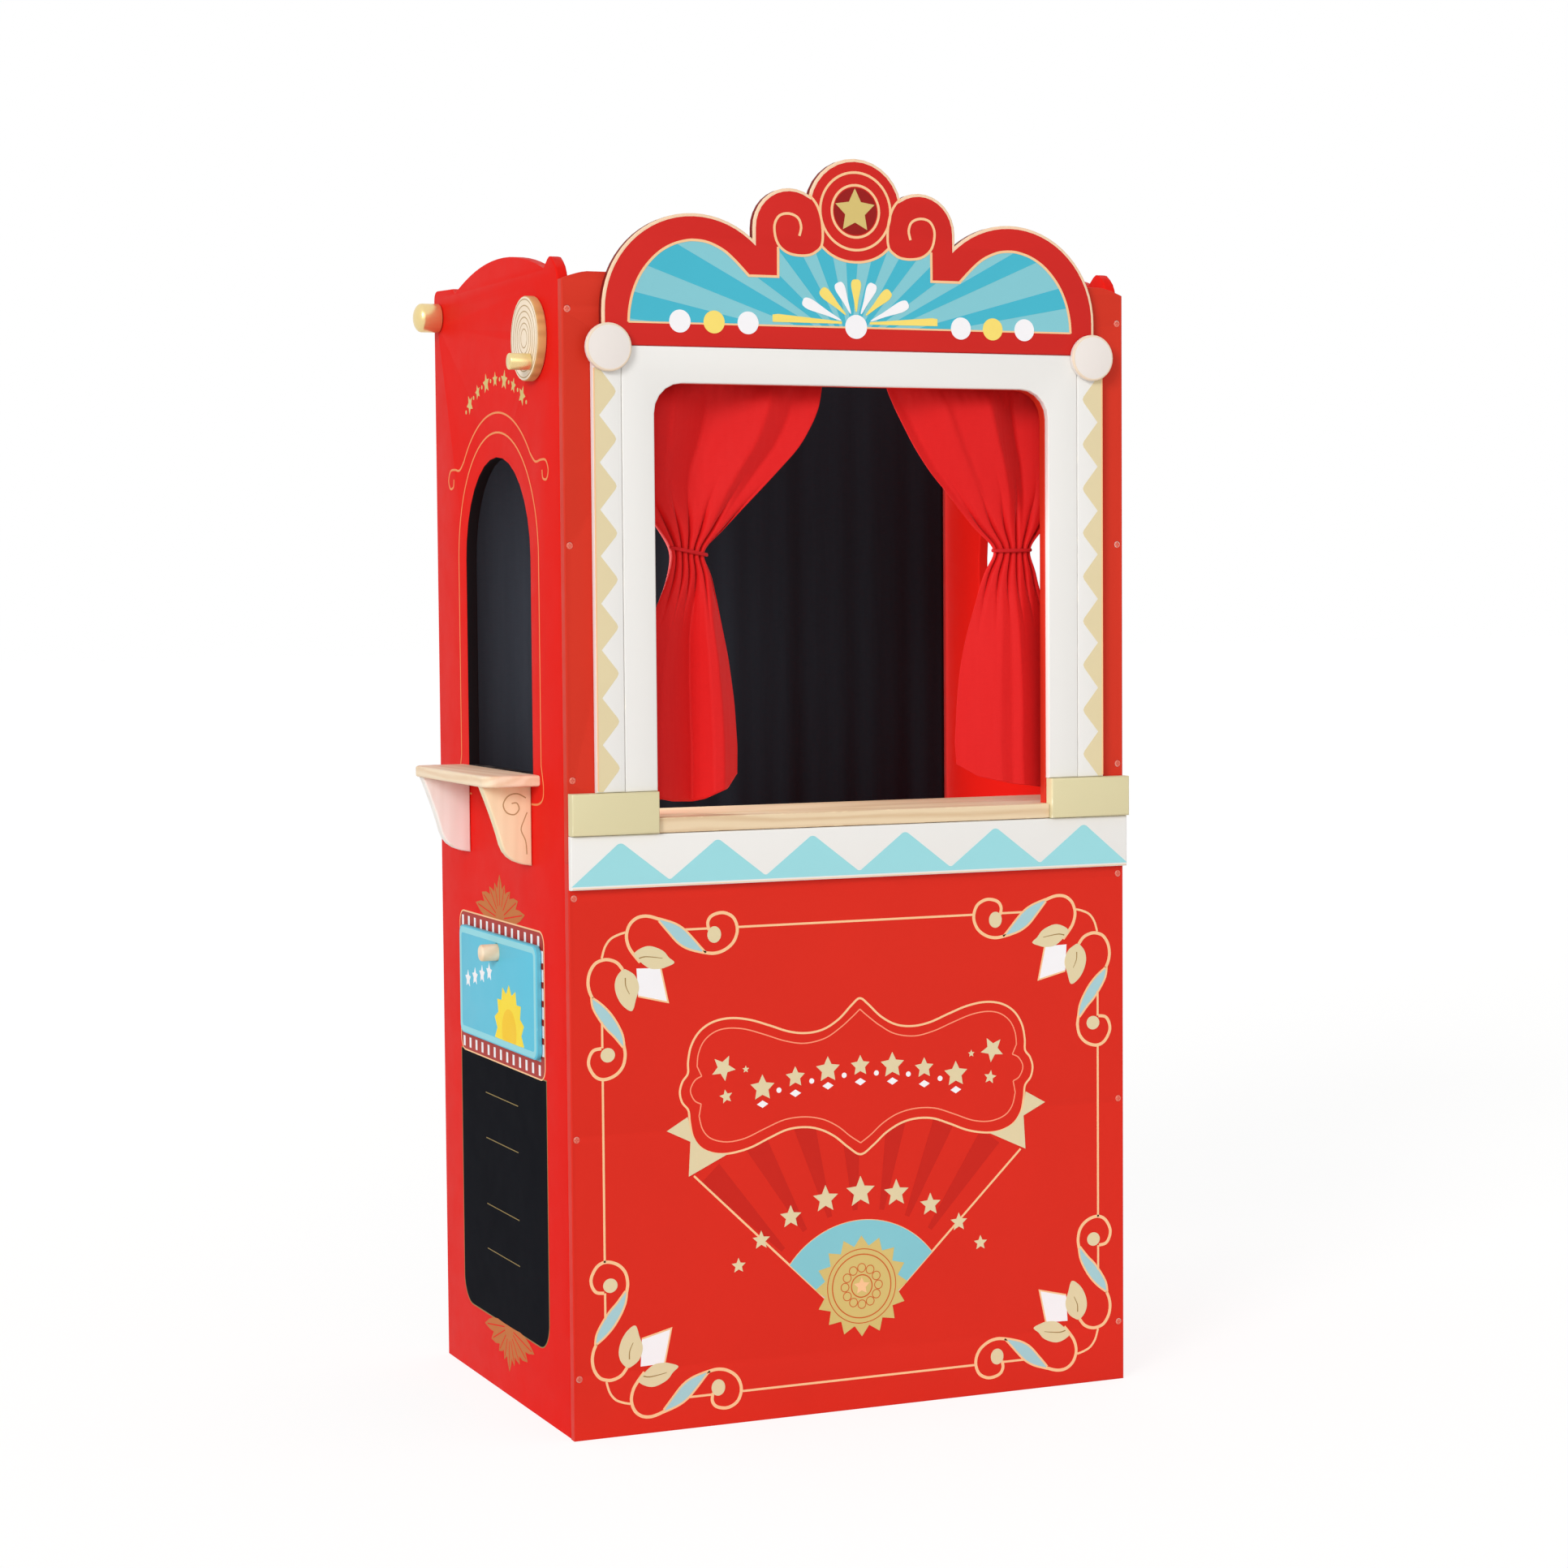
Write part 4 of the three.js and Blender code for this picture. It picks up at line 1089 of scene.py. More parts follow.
@dataclass
class CrestPrint:
    """The show-booth picture printed on the crest: rays, petals, bulbs, scrolls and a star."""

    source: Pair = (-6.0, 1120.0)
    foot: float = 1141.6
    centre: Pair = (0.3, 1260.4)
    outer_ring: float = 39.9
    inner_ring: float = 26.8
    line_width: float = 2.6
    notch: Pair = (-87.4, 1190.6)
    bulbs: tuple[float, ...] = (-196.4, -158.9, -121.4)
    petal_tips: Line = trace(-60.2, 1167, -39.4, 1179.2, -20.4, 1186.6, 0.4, 1190.6)
    petal_roots: Line = trace(-18.4, 1148.4, -12.4, 1154.4, -6.4, 1156, 0.4, 1158)
    petal_widths: Line = trace(0, 0.8, 0.35, 2.6, 0.62, 4.6, 0.8, 5.6, 0.93, 4.9, 0.99, 2.6)
    long_petal: Line = trace(94, 1144.4, 94, 1151.8, 88, 1152.6, 16, 1146.6, 16, 1144.2)
    dark_rays: Line = trace(
        10.5, 15.5, 23.5, 28.5, 35, 43, 50.5, 59, 67, 75, 84.5, 93, 102, 112, 120, 129.5, 138, 146.5,
        152.5, 161, 168, 174.4,
    )
    field_half: Line = trace(
        -252, 1140.6, -250.8, 1154.4, -247, 1170.5, -240, 1186.5, -230.3, 1200, -218, 1211.6,
        -204, 1219.6, -190, 1223.8, -179, 1224.8, -164.8, 1223, -149, 1216.3, -136.5, 1206.8,
        -120, 1190.6,
    )
    scallop_half: Line = trace(
        -87.2, 1221.6, -80, 1217.4, -72, 1214.2, -63.5, 1212.9, -51, 1214.2, -42, 1219.4, -38.4, 1223.6,
        -30.2, 1216.6, -20, 1211.4, -9, 1208.6, 0, 1208,
    )
    lobe_side: Line = trace(
        -52, 1275.4, -44.5, 1267, -39.9, 1256.8, -37.4, 1244.4, -37, 1231.2, -38.4, 1223.6,
    )
    curl: Line = trace(
        -38.4, 1223.6, -42, 1219.4, -50.9, 1214.2, -63.5, 1212.9, -76.1, 1215.2, -85.5, 1221.8,
        -90.1, 1231.2, -90.9, 1243.5, -85.4, 1252.9, -74.9, 1255.4, -64.9, 1251.5, -61.3, 1242.5,
        -63.3, 1233,
    )

    def field(self) -> list[Pair]:
        """The outline of the blue field, closed."""
        half = soft_line(self.field_half, steps=4) + [self.notch] + soft_line(self.scallop_half, steps=3)
        return half + mirrored(half[:-1], 0.0)[::-1]

    def build(self) -> None:
        """Prints the field, its rays and all that lies on it."""
        sky = Print("crest_field", LAID, SKY_INK)
        sky.fill(self.field())
        sky.piece()
        self.rays()
        self.lines()
        self.petals()
        self.medallion()

    def rays(self) -> None:
        """Prints the darker rays, each cut to the field."""
        outline = self.field()
        ink = Print("crest_rays", LAID, DEEP_SKY_INK, 2)
        for first, last in self.dark_rays:
            far = []
            near = []
            for i in range(13):
                angle = first + (last - first) * i / 12
                start = (self.foot - self.source[1]) / math.sin(math.radians(angle))
                far.append(polar(self.source, self.reach(outline, angle, start + 2.0), angle))
                near.append(polar(self.source, start, angle))
            ink.fill(far + near[::-1])
        ink.piece()

    def reach(self, outline: list[Pair], angle: float, start: float) -> float:
        """How far a ray from the source runs before it leaves the field.

        Args:
            outline: The field's outline.
            angle: The ray's angle, in degrees.
            start: Where it is surely inside.

        Returns:
            The distance.
        """
        dx, dy = polar((0.0, 0.0), 1.0, angle)
        best = 400.0
        for (ax, ay), (bx, by) in sides_of(outline):
            ex, ey = bx - ax, by - ay
            gap_x, gap_y = ax - self.source[0], ay - self.source[1]
            cross = dx * ey - dy * ex
            if abs(cross) < 1e-9:
                continue
            far = (gap_x * ey - gap_y * ex) / cross
            if 0 <= (gap_x * dy - gap_y * dx) / cross <= 1 and start < far < best:
                best = far
        return best - 0.6

    def lines(self) -> None:
        """Prints the cream line round the field, the two curls and the rings."""
        ink = Print("crest_lines", LAID, CREAM_INK, 4)
        outer = soft_line(self.field_half, steps=5) + [self.notch, (-87.2, 1221.0)]
        parts = [outer, soft_line(self.scallop_half[6:], steps=4)]
        parts += [soft_line(self.lobe_side), soft_line(self.curl)]
        for line in parts + [mirrored(part, 0.0) for part in parts]:
            ink.stroke(line, self.line_width)
        ink.stroke([(-252.0, 1140.6), (252.0, 1140.6)], 1.8)
        ink.ring(self.centre, self.outer_ring, self.line_width)
        ink.ring(self.centre, self.inner_ring, self.line_width)
        ink.piece()

    def petals(self) -> None:
        """Prints the fan of petals, the two long ones and the row of bulbs."""
        white = Print("crest_white", LAID, WHITE_INK, 6)
        yellow = Print("crest_yellow", LAID, YELLOW_INK, 5)
        for i, (tip, root) in enumerate(zip(self.petal_tips, self.petal_roots)):
            ink = yellow if i % 2 else white
            shape = soft_line(blade(root, tip, self.petal_widths), closed=True, steps=3)
            ink.fill(shape)
            if tip[0] < 0:
                ink.fill(mirrored(shape, 0.0))
        for flip in (True, False):
            yellow.fill(mirrored(self.long_petal, 0.0) if flip else self.long_petal)
        for i, x in enumerate(self.bulbs):
            for across in (x, -x):
                (yellow if i == 1 else white).disc((across, 1142.6), 11.6)
        white.disc((0.2, 1141.4), 12.4)
        press(white, yellow)

    def medallion(self) -> None:
        """Prints the dark disc and the gold star in the middle lobe."""
        dark = Print("crest_medallion", LAID, INK_RED, 2)
        dark.disc(self.centre, self.inner_ring - self.line_width)
        star = Print("crest_star", LAID, GOLD_INK, 5)
        star.star((self.centre[0] - 0.6, self.centre[1] + 0.2), 23.4, waist=0.5)
        press(dark, star)


@dataclass
class LowerFrontPrint:
    """The ornament on the lower front board: a border with scrolled corners, a badge, a fan and stars."""

    middle: float = 1.4
    level_middle: float = 277.2
    border: float = 2.3
    badge_middle: float = 3.6
    scrolls: tuple[Line, ...] = (
        trace(
            -174.6, 496.7, -162.2, 494.9, -151.1, 497.2, -141.3, 503.8, -136.3, 512.6, -135.6, 521.6,
            -139.6, 530.9, -147.9, 535.9, -156.3, 536.4, -164.6, 533.3, -168.2, 527, -167, 519.2,
        ),
        trace(
            -261.8, 404.4, -260.6, 394.8, -263.4, 383.4, -271.6, 375, -283.8, 371.4, -293.6, 375.2,
            -300, 385.8, -299.7, 394.7, -295, 401.8, -286.5, 403.4,
        ),
        trace(
            -243.2, 489.7, -249.9, 497.7, -255.2, 505.7, -257.8, 514.7, -257.1, 522.3, -253.6, 529.8,
            -246.8, 535.2, -238.6, 537, -230.4, 535.9, -220.9, 532.6,
        ),
        trace(
            -262.3, 483.1, -267.6, 489.7, -274.3, 493.3, -282.4, 494.3, -291.8, 491, -298, 482.4,
            -300.1, 472.4, -298.9, 463.4, -295.6, 455.6,
        ),
    )
    upper_ribbon: tuple[Line, ...] = (
        trace(-222.6, 534.1, -205.9, 528.5, -195, 521.9, -185.5, 512.4, -176, 501.7, -170.5, 496),
        trace(-222.3, 531.2, -212.9, 520.2, -202, 508.1, -191.1, 501.1, -177.4, 496.8, -170.5, 495.6),
    )
    lower_ribbon: tuple[Line, ...] = (
        trace(-296.9, 455.7, -295.1, 445.4, -288.5, 433.5, -280.5, 422.8, -272.5, 414.7, -263.2, 403.3),
        trace(-295.6, 456.2, -285.6, 448.7, -276.3, 439.2, -268.3, 427.2, -263, 415.4, -261.1, 403.1),
    )
    corner: Line = trace(-259.1, 521.2, -267.2, 519, -275.4, 515, -281.5, 507, -285, 495.7)
    bars: tuple[Line, ...] = (trace(-193.7, 521, -169, 521), trace(-285.4, 430.5, -285.4, 403.6))
    drops: tuple[tuple[float, ...], ...] = ((-161.2, 514.3, 7.6, 8.6), (-279.6, 396.2, 7.8, 7.4))
    leaves: tuple[Line, ...] = (
        trace(
            -249.9, 497.7, -243, 503.8, -232.1, 505.9, -218.5, 500.6, -211.8, 493.2, -205.7, 487.4,
            -214.6, 483.4, -221.5, 482, -232.4, 482.8, -241.8, 489,
        ),
        trace(
            -262.3, 483.1, -269.1, 475.8, -271.2, 465.7, -268, 454, -261.3, 444.7, -252.6, 440.2,
            -248.4, 451.6, -244.8, 464.2, -248.8, 476, -256.8, 482.1,
        ),
    )
    veins: tuple[Line, ...] = (
        trace(-244.5, 493.8, -237.7, 495.2, -226.8, 494, -218.7, 492.6),
        trace(-259.7, 474.6, -259.3, 466.3, -255.3, 457.6),
    )
    card: Line = trace(-247.3, 483.5, -220.8, 482.8, -213, 446.8, -245.6, 454.7)
    badge_outer: Line = trace(
        3.6, 438.8, -5.6, 432.4, -20.4, 418.4, -38, 408.6, -57.6, 405.6, -78, 408.4, -100.2, 416.2,
        -122.4, 423.4, -144.3, 426.4, -163.8, 423.4, -178.6, 414.4, -188, 400.2, -191.6, 384, -192, 371.6,
        -198, 363.4, -201, 352.8, -198.6, 342, -191.8, 333.2, -190.2, 320.8, -186.6, 304.6, -177.4, 292.6,
        -163, 286.2, -146, 285, -123.2, 289.2, -100.6, 298.2, -80.8, 305.2, -60.9, 306.4, -43, 302.6,
        -26, 293.8, -11, 281.6, 3.6, 272.8,
    )
    badge_lines: tuple[Line, ...] = (
        trace(
            3.6, 427.2, -5.7, 419.2, -20.1, 408.2, -37.4, 398.6, -60.2, 394.9, -82.8, 398.9,
            -105.3, 406.8, -127.7, 413.9, -147.2, 416, -162.1, 412.9, -173.8, 404.1, -180.1, 391.2,
            -181.6, 378.3,
        ),
        trace(-176.6, 367.9, -184.4, 363.7, -189.3, 353.6, -184.9, 343.1, -177.5, 338.9),
        trace(
            -179.9, 326.3, -176.1, 312.2, -166.7, 302.1, -149.2, 297.3, -128.7, 299.6, -106.2, 308.1,
            -83.5, 315.9, -60.8, 317.2, -40.1, 313.2, -22.8, 304.5, -8.5, 293.1, 3.6, 285,
        ),
    )
    badge_ties: tuple[Line, ...] = (trace(-181.6, 378.3, -176.6, 367.9), trace(-177.5, 338.9, -179.9, 326.3))
    spikes: Line = trace(
        -216, 313.2, -192.6, 326.4, -188.6, 308, -178.4, 293, -163.6, 286.4, -147.6, 284.8, -192, 264.2,
        -189.8, 300.4,
    )
    end_stars: tuple[tuple[float, ...], ...] = (
        (-152.4, 374.8, 14.0, 188.0),
        (-149.6, 344.8, 7.6, 10.0),
        (-127.2, 371.8, 4.0, 0.0),
    )
    row_pitch: float = 37.4
    fan_top: Pair = (-186.2, 264.4)
    fan_apex: Pair = (3.6, 81.8)
    ray_angles: tuple[float, ...] = (-43.0, -29.5, -16.0, -3.0, 10.5, 24.0, 37.5)
    ray_corners: Line = trace(-1.2, 132, -3.1, 252, 3.1, 252, 1.2, 132)
    arch_centre: Pair = (3.6, 98.4)
    arch_radius: float = 104.0
    sky_stars: tuple[Triple, ...] = (
        (3.0, 232.6, 17.2),
        (-37.6, 228.2, 15.0),
        (-77.6, 212.6, 12.6),
        (-111.4, 190.8, 10.2),
        (-137.2, 166.2, 8.2),
    )
    rosette: Pair = (3.6, 132.0)
    rosette_radius: float = 54.0
    eye_radius: float = 12.0

    def four(self, *parts: Line) -> list[list[Pair]]:
        """Each part at the four corners of the border."""
        made = []
        for part in parts:
            sides = [list(part), mirrored(part, self.middle)]
            made += sides + [mirrored(side, self.level_middle, upright=True) for side in sides]
        return made

    def both(self, *parts: Line) -> list[list[Pair]]:
        """Each part on the left and on the right of the badge."""
        return [side for part in parts for side in (list(part), mirrored(part, self.badge_middle))]

    def build(self) -> None:
        """Prints the border, the badge, the fan and the rosette."""
        self.corners()
        self.badge()
        self.fan_and_stars()
        self.emblem()

    def corners(self) -> None:
        """Prints the border line, the scrolls, the ribbons, the leaves and the cards."""
        line = Print("border_lines", FRONT, CREAM_INK, 3)
        cream = Print("border_leaves", FRONT, KHAKI_INK, 4)
        blue = Print("border_ribbons", FRONT, RIBBON_INK, 1)
        white = Print("border_cards", FRONT, WHITE_INK, 2)
        vein = Print("border_veins", FRONT, VEIN_INK, 5)
        width = self.border
        for points in self.four(*self.scrolls):
            line.stroke(soft_line(points), width * 1.45)
        for points in self.four(self.corner):
            line.stroke(soft_line(points, steps=5), width)
        for ribbon in (self.upper_ribbon, self.lower_ribbon):
            first, second = (soft_line(side, steps=5) for side in ribbon)
            for points in self.four(first + second[::-1]):
                blue.fill(points)
            for points in self.four(first, second):
                line.stroke(points, width * 0.9)
        for points in self.four(*self.bars):
            line.stroke(points, width)
        top = [(-135.6, 520.9), (2 * self.middle + 135.6, 520.9)]
        side = [(-285.4, 372.0), (-285.4, 2 * self.level_middle - 372.0)]
        foot = mirrored(top, self.level_middle, upright=True)
        for points in (top, foot, side, mirrored(side, self.middle)):
            line.stroke(points, width)
        for x, z, wide, high in self.drops:
            for centre in self.four([(x, z)]):
                cream.disc(centre[0], wide, high)
        for points in self.four(*self.leaves):
            cream.fill(soft_line(points, closed=True, steps=5))
        for points in self.four(*self.veins):
            vein.stroke(soft_line(points, steps=4), 1.3, taper=0.4)
        for points in self.four(self.card):
            white.fill(points)
            line.stroke(points[1:], 1.7)
        press(line, cream, blue, white, vein)

    def badge(self) -> None:
        """Prints the badge: two outlines, spikes, stars at its ends and a row of plain stars."""
        line = Print("badge_outline", FRONT, CREAM_INK, 4)
        inner = Print("badge_inner_line", FRONT, ROSE_INK, 3)
        khaki = Print("badge_spikes", FRONT, KHAKI_INK, 5)
        red = Print("badge_field", FRONT, FRONT_RED, 2)
        left, right = self.both(self.badge_outer)
        smooth = soft_line(left + right[-2:0:-1], closed=True)
        red.fill(smooth)
        line.stroke(smooth, 2.2, closed=True)
        for points in self.both(*self.badge_lines):
            inner.stroke(soft_line(points), 1.3)
        for points in self.both(*self.badge_ties):
            inner.stroke(points, 1.3)
        for points in self.both(self.spikes):
            khaki.fill(points)
        for x, z, size, turn in self.end_stars:
            for sign, points in zip((1, -1), self.both([(x, z)])):
                khaki.star(points[0], size, turn * sign)
        self.star_row(khaki)
        press(line, inner, khaki, red)

    def in_row(self, place: float) -> Pair:
        """A place in the arched row, counted from its middle."""
        across = place * self.row_pitch
        return (self.badge_middle + across, 364.6 - 0.00128 * across ** 2)

    def star_row(self, khaki: Print) -> None:
        """Prints a plain arched row of diamonds and dots in the badge, and adds its stars to a print."""
        white = Print("badge_diamonds", FRONT, WHITE_INK, 5)
        for i in range(7):
            x, z = self.in_row(i - 3)
            khaki.star((x, z + 2.5), 11.4 if i % 2 else 14.2, waist=0.5)
            white.fill([(x - 6.4, z - 14.5), (x, z - 18.4), (x + 6.4, z - 14.5), (x, z - 10.6)])
        for i in range(6):
            x, z = self.in_row(i - 2.5)
            white.disc((x, z - 6.0), 2.8)
        white.piece()

    def fan_and_stars(self) -> None:
        """Prints the fan under the badge, its darker rays, the arch and the arc of stars."""
        line = Print("fan_lines", FRONT, CREAM_INK, 3)
        rays = Print("fan_rays", FRONT, DEEP_RED, 1)
        stars = Print("front_stars", FRONT, KHAKI_INK, 6)
        blue = Print("fan_arch", FRONT, SKY_INK, 4)
        for points in self.both((self.fan_top, (-36.0, 119.9))):
            line.stroke(points, 2.2)
        apex_x, apex_z = self.fan_apex
        for angle in self.ray_angles:
            rays.fill([polar(self.fan_apex, reach, 90 - angle - turn) for turn, reach in self.ray_corners])
        slope = math.degrees(math.atan2(self.fan_top[1] - apex_z, apex_x - self.fan_top[0]))
        top = fan(self.arch_centre, self.arch_radius, slope - 6.6, 180 - slope + 6.6, 30)
        blue.fill(top + [(apex_x - 36.0, apex_z + 34.7), (apex_x + 36.0, apex_z + 34.7)])
        line.stroke(top, 1.4)
        for i, (x, z, size) in enumerate(self.sky_stars):
            stars.star((x, z), size)
            if i:
                stars.star((2 * self.badge_middle - x, z), size)
        press(line, rays, stars, blue)

    def emblem(self) -> None:
        """Prints a gold rosette with pointed rays at the foot of the fan."""
        gold = Print("rosette_rays", FRONT, GOLD_INK, 6)
        gold.star(self.rosette, self.rosette_radius, tips=16, waist=0.8)
        dark = Print("rosette_lines", FRONT, RUST_INK, 7)
        dark.ring(self.rosette, 34.0, 1.3, 72)
        dark.ring(self.rosette, 39.69, 1.0, 72)
        for i in range(12):
            dark.ring(polar(self.rosette, 19.5, 30 * i), 4.6, 0.9, 20)
        dark.ring(self.rosette, self.eye_radius, 1.3, 40)
        star = Print("rosette_star", FRONT, CREAM_INK, 8)
        star.star(self.rosette, self.eye_radius - 2.6, waist=0.5)
        press(gold, dark, star)


@dataclass
class LeftSidePrint:
    """The ornament on the outside of the left panel, with across as the distance from front to back."""

    arch_spring: Pair = (0.0, 904.0)
    inner_line: float = 135.0
    outer_line: float = 156.0
    star_arc: float = 191.0
    star_step: float = 9.2
    arch_foot: Line = trace(-100, 648, -124, 649, -138.6, 655, -141.6, 668, -135, 690)
    curl_start: Line = trace(-112.2, 1012.4, -128, 1003.4, -146, 1004.6, -161, 1003.4, -168.4, 993.6)
    curl_end: Line = trace(-163, 984.4, -151.6, 985.6, -149.4, 994)
    field: tuple[float, float, float, float] = (-140.2, 149.0, 76.4, 362.0)
    field_radius: float = 30.0
    rule_levels: tuple[float, ...] = (322.4, 272.4, 199.4, 149.8)
    marquee: tuple[float, float, float, float] = (-136.8, 148.6, 361.0, 516.4)
    marquee_band: float = 19.0
    sprays: tuple[tuple[Pair, float], ...] = (((7.0, 517.6), 90), ((-6.0, 75.6), -90))
    spray: tuple[Triple, ...] = ((0, 48, 8.6), (24, 42, 8.0), (47, 48, 8.6), (68, 66, 10.0), (82, 84, 8.0))
    leaf_widths: Line = trace(0, 0.2, 0.2, 0.5, 0.45, 0.95, 0.62, 1, 0.8, 0.72, 1, 0.02)

    def build(self) -> None:
        """Prints the arch lines, the board, the lit border and the leaf ornaments."""
        self.arch()
        self.chalk_field()
        self.lit_border()
        self.leaves()

    def arch(self) -> None:
        """Prints the double line round the window and an arc of plain stars over it."""
        ink = Print("window_lines", FLANK, ARCH_INK)
        gold = Print("window_stars", FLANK, GOLD_INK)
        centre = self.arch_spring
        half = soft_line(self.arch_foot, steps=4)
        half += [(-self.inner_line, 760.0), (-self.inner_line, centre[1])]
        arc = fan(centre, self.inner_line, 180, 0, 40)[1:-1]
        ink.stroke(half + arc + mirrored(half, 0.0)[::-1], 2.0)
        ink.stroke(fan(centre, self.outer_line, 136, 44, 36), 2.0)
        curl = soft_line(self.curl_start + self.curl_end)
        for line in (curl, mirrored(curl, 0.0)):
            ink.stroke(line, 2.2)
        for i in range(7):
            turn = (i - 3) * self.star_step
            gold.star(polar(centre, self.star_arc, 90 + turn), 8.4 if i % 2 else 11.0, turn)
        for i in range(8):
            gold.disc(polar(centre, self.star_arc, 90 + (i - 3.5) * self.star_step), 2.2)
        press(ink, gold)

    def chalk_field(self) -> None:
        """Prints the bare black writing field, its outline and four ruled lines."""
        front, back, low, top = self.field
        soft = self.field_radius
        line = [(back, top), (front, top)]
        line += fan((front + soft, low + soft), soft, 180, 270, 12)
        line += fan((back - soft, low + soft), soft, 270, 360, 12)
        black = Print("chalk_field", FLANK, CHALK_BLACK)
        black.fill(line)
        rules = Print("chalk_rules", FLANK, RULE_INK, 2)
        rules.stroke(line, 1.2, closed=True)
        for level in self.rule_levels:
            rules.stroke([(64.0, level), (-46.0, level)], 1.0)
        press(black, rules)

    def lit_border(self) -> None:
        """Prints the dark red border with its row of lamps round the hung picture."""
        front, back, low, top = self.marquee
        band = self.marquee_band
        line = rounded(front, back, low, top, 14.0, 8)
        dark = Print("lamp_border", FLANK, LAMP_RED, 3)
        dark.fill(line)
        cream = Print("lamp_border_line", FLANK, CREAM_INK, 4)
        cream.stroke(line, 1.6, closed=True)
        lamps = Print("border_lamps", FLANK, WHITE_INK, 4)
        for i in range(13):
            y = 137.4 - i * 257 / 12
            for z in (top - band / 2 - 1.0, low + band / 2):
                lamps.bar(y - 3.2, y + 3.2, z - 5.6, z + 5.6)
        for i in range(6):
            z = 490.6 - i * 19.6
            lamps.bar(-134.6, -127.4, z - 6.4, z + 6.4)
        blue = Print("picture_place", FLANK, SKY_INK, 4)
        blue.bar(-124.6, back - 3.0, low + band, top - band)
        press(dark, cream, lamps, blue)

    def leaves(self) -> None:
        """Prints a spray of pointed leaves above the border and another under the field."""
        ink = Print("leaf_sprays", FLANK, LEAF_INK, 2)
        veins = Print("leaf_veins", FLANK, SIDE_RED, 3)
        for root, way in self.sprays:
            for angle, reach, wide in self.spray:
                widths = [(along, share * wide) for along, share in self.leaf_widths]
                for turn in (way + angle, way - angle) if angle else (way,):
                    ink.fill(blade(root, polar(root, reach, turn), widths))
                    veins.stroke([polar(root, 15.0, turn), polar(root, 0.9 * reach, turn)], 1.3)
        press(ink, veins)


@dataclass
class SideFittings:
    """What is fixed to or turns in the left panel: ticket shelf, crank, picture and their prints."""

    curl_start: Line = trace(-326.6, 655, -336, 659.6, -346, 657.4, -351.4, 648.8, -347.8, 640.4)
    curl_end: Line = trace(-339.4, 638, -334.2, 643.4, -336.6, 649.8, -342.2, 649.6)
    stem: Line = trace(-326.2, 596, -327.4, 610, -332.2, 622, -328.4, 633, -325.4, 640)
    crank_centre: Pair = (-128.0, 1129.0)
    crank_rings: tuple[float, ...] = (40.0, 33.6, 27.6, 21.6, 15.6, 9.6)
    disc_edge: Line = trace(0.8, 0.21, 0.21, 0.8, 0, 1.6, 0, 8.4, 0.21, 9.2)
    peg_shank: float = 4.8
    rim_inset: float = 5.0
    sun_points: int = 14

    def build(self) -> None:
        """Builds the ticket shelf, the crank and the picture."""
        self.ticket_shelf()
        self.crank()
        self.picture()

    def ticket_shelf(self) -> None:
        """Builds the shelf and its two brackets, with a curl printed on the front one."""
        Board("ticket_shelf", Axis.UPRIGHT, SHELF_WOOD, high=True, rounding=2.6).build()
        Board("front_ticket_bracket", Axis.DEEP, BRACKET_WOOD, rounding=2.0).build()
        Board("rear_ticket_bracket", Axis.DEEP, PALE_WOOD, rounding=2.0).build()
        ink = Print("bracket_curl", skin("front_ticket_bracket", Axis.DEEP), RING_INK)
        ink.stroke(soft_line(self.curl_start + self.curl_end), 1.4)
        ink.stroke(soft_line(self.stem), 1.2)
        ink.piece()

    def crank(self) -> None:
        """Builds the crank disc, its rings, its gold peg, and the axle and cap behind it."""
        Board("crank_disc", Axis.ACROSS, DISC_WOOD, "crank", rounding=1.6).build()
        names = ("crank_disc_edge", "crank_disc", Axis.ACROSS)
        EdgeCoat(*names, EDGE_WOOD, self.disc_edge, body="crank").build()
        face = skin("crank_disc", Axis.ACROSS)
        rings = Print("crank_rings", face, RING_INK, 1, "crank")
        for radius in self.crank_rings:
            rings.ring(self.crank_centre, radius, 1.1)
        rings.piece()
        peg = Turned("crank_peg", GOLD, "crank")
        wide, thin, proud = peg.radius, self.peg_shank, face.level - peg.start
        head = trace(0, wide - 1.5, 0.4, wide - 0.6, 1.2, wide, proud - 0.6, wide)
        neck = trace(proud - 0.4, wide - 0.4, proud - 0.35, thin, peg.length, thin)
        peg.build(head + neck)
        Turned("crank_axle", INSIDE_WOOD, "crank").build()
        Turned("crank_cap", GOLD, "crank").build(soft=2.2)

    def picture(self) -> None:
        """Builds the hung picture with a plain sun on its blue ground, and its peg."""
        body = "hung_picture"
        Board("picture_board", Axis.ACROSS, PICTURE_BLUE, body).build()
        face = skin("picture_board", Axis.ACROSS)
        low, high = (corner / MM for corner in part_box("picture_board"))
        edge = Print("picture_edge", face, PICTURE_RIM, 1, body)
        near = self.rim_inset
        line = rounded(low.y + near, high.y - near, low.z + near, high.z - near, 7.5, 6)
        edge.stroke(line, 6.6, closed=True)
        sun = Print("picture_sun", face, SUN_INK, 2, body)
        middle = (-41.0, low.z + 20.0)
        floor = low.z + 8.5
        count = 2 * self.sun_points
        tips = [polar(middle, 50.0 if i % 2 else 40.0, 360 * i / count) for i in range(count)]
        tips = [(y, max(floor, z)) for y, z in tips]
        sun.fill([(y, z) for y, z in tips if z > floor or abs(y - middle[0]) > 36.0])
        glow = Print("picture_sun_heart", face, SUN_HEART, 3, body)
        glow.fill(fan(middle, 24.0, -28, 208, 24))
        stars = Print("picture_small_stars", face, WHITE_INK, 3, body)
        for i in range(4):
            stars.star((100.0 - i * 25.0, low.z + 62.0 + 5.0 * i), 10.0, waist=0.5)
        press(edge, sun, glow, stars)
        Turned("picture_peg", SHELF_WOOD, "carcass").build(soft=2.4)


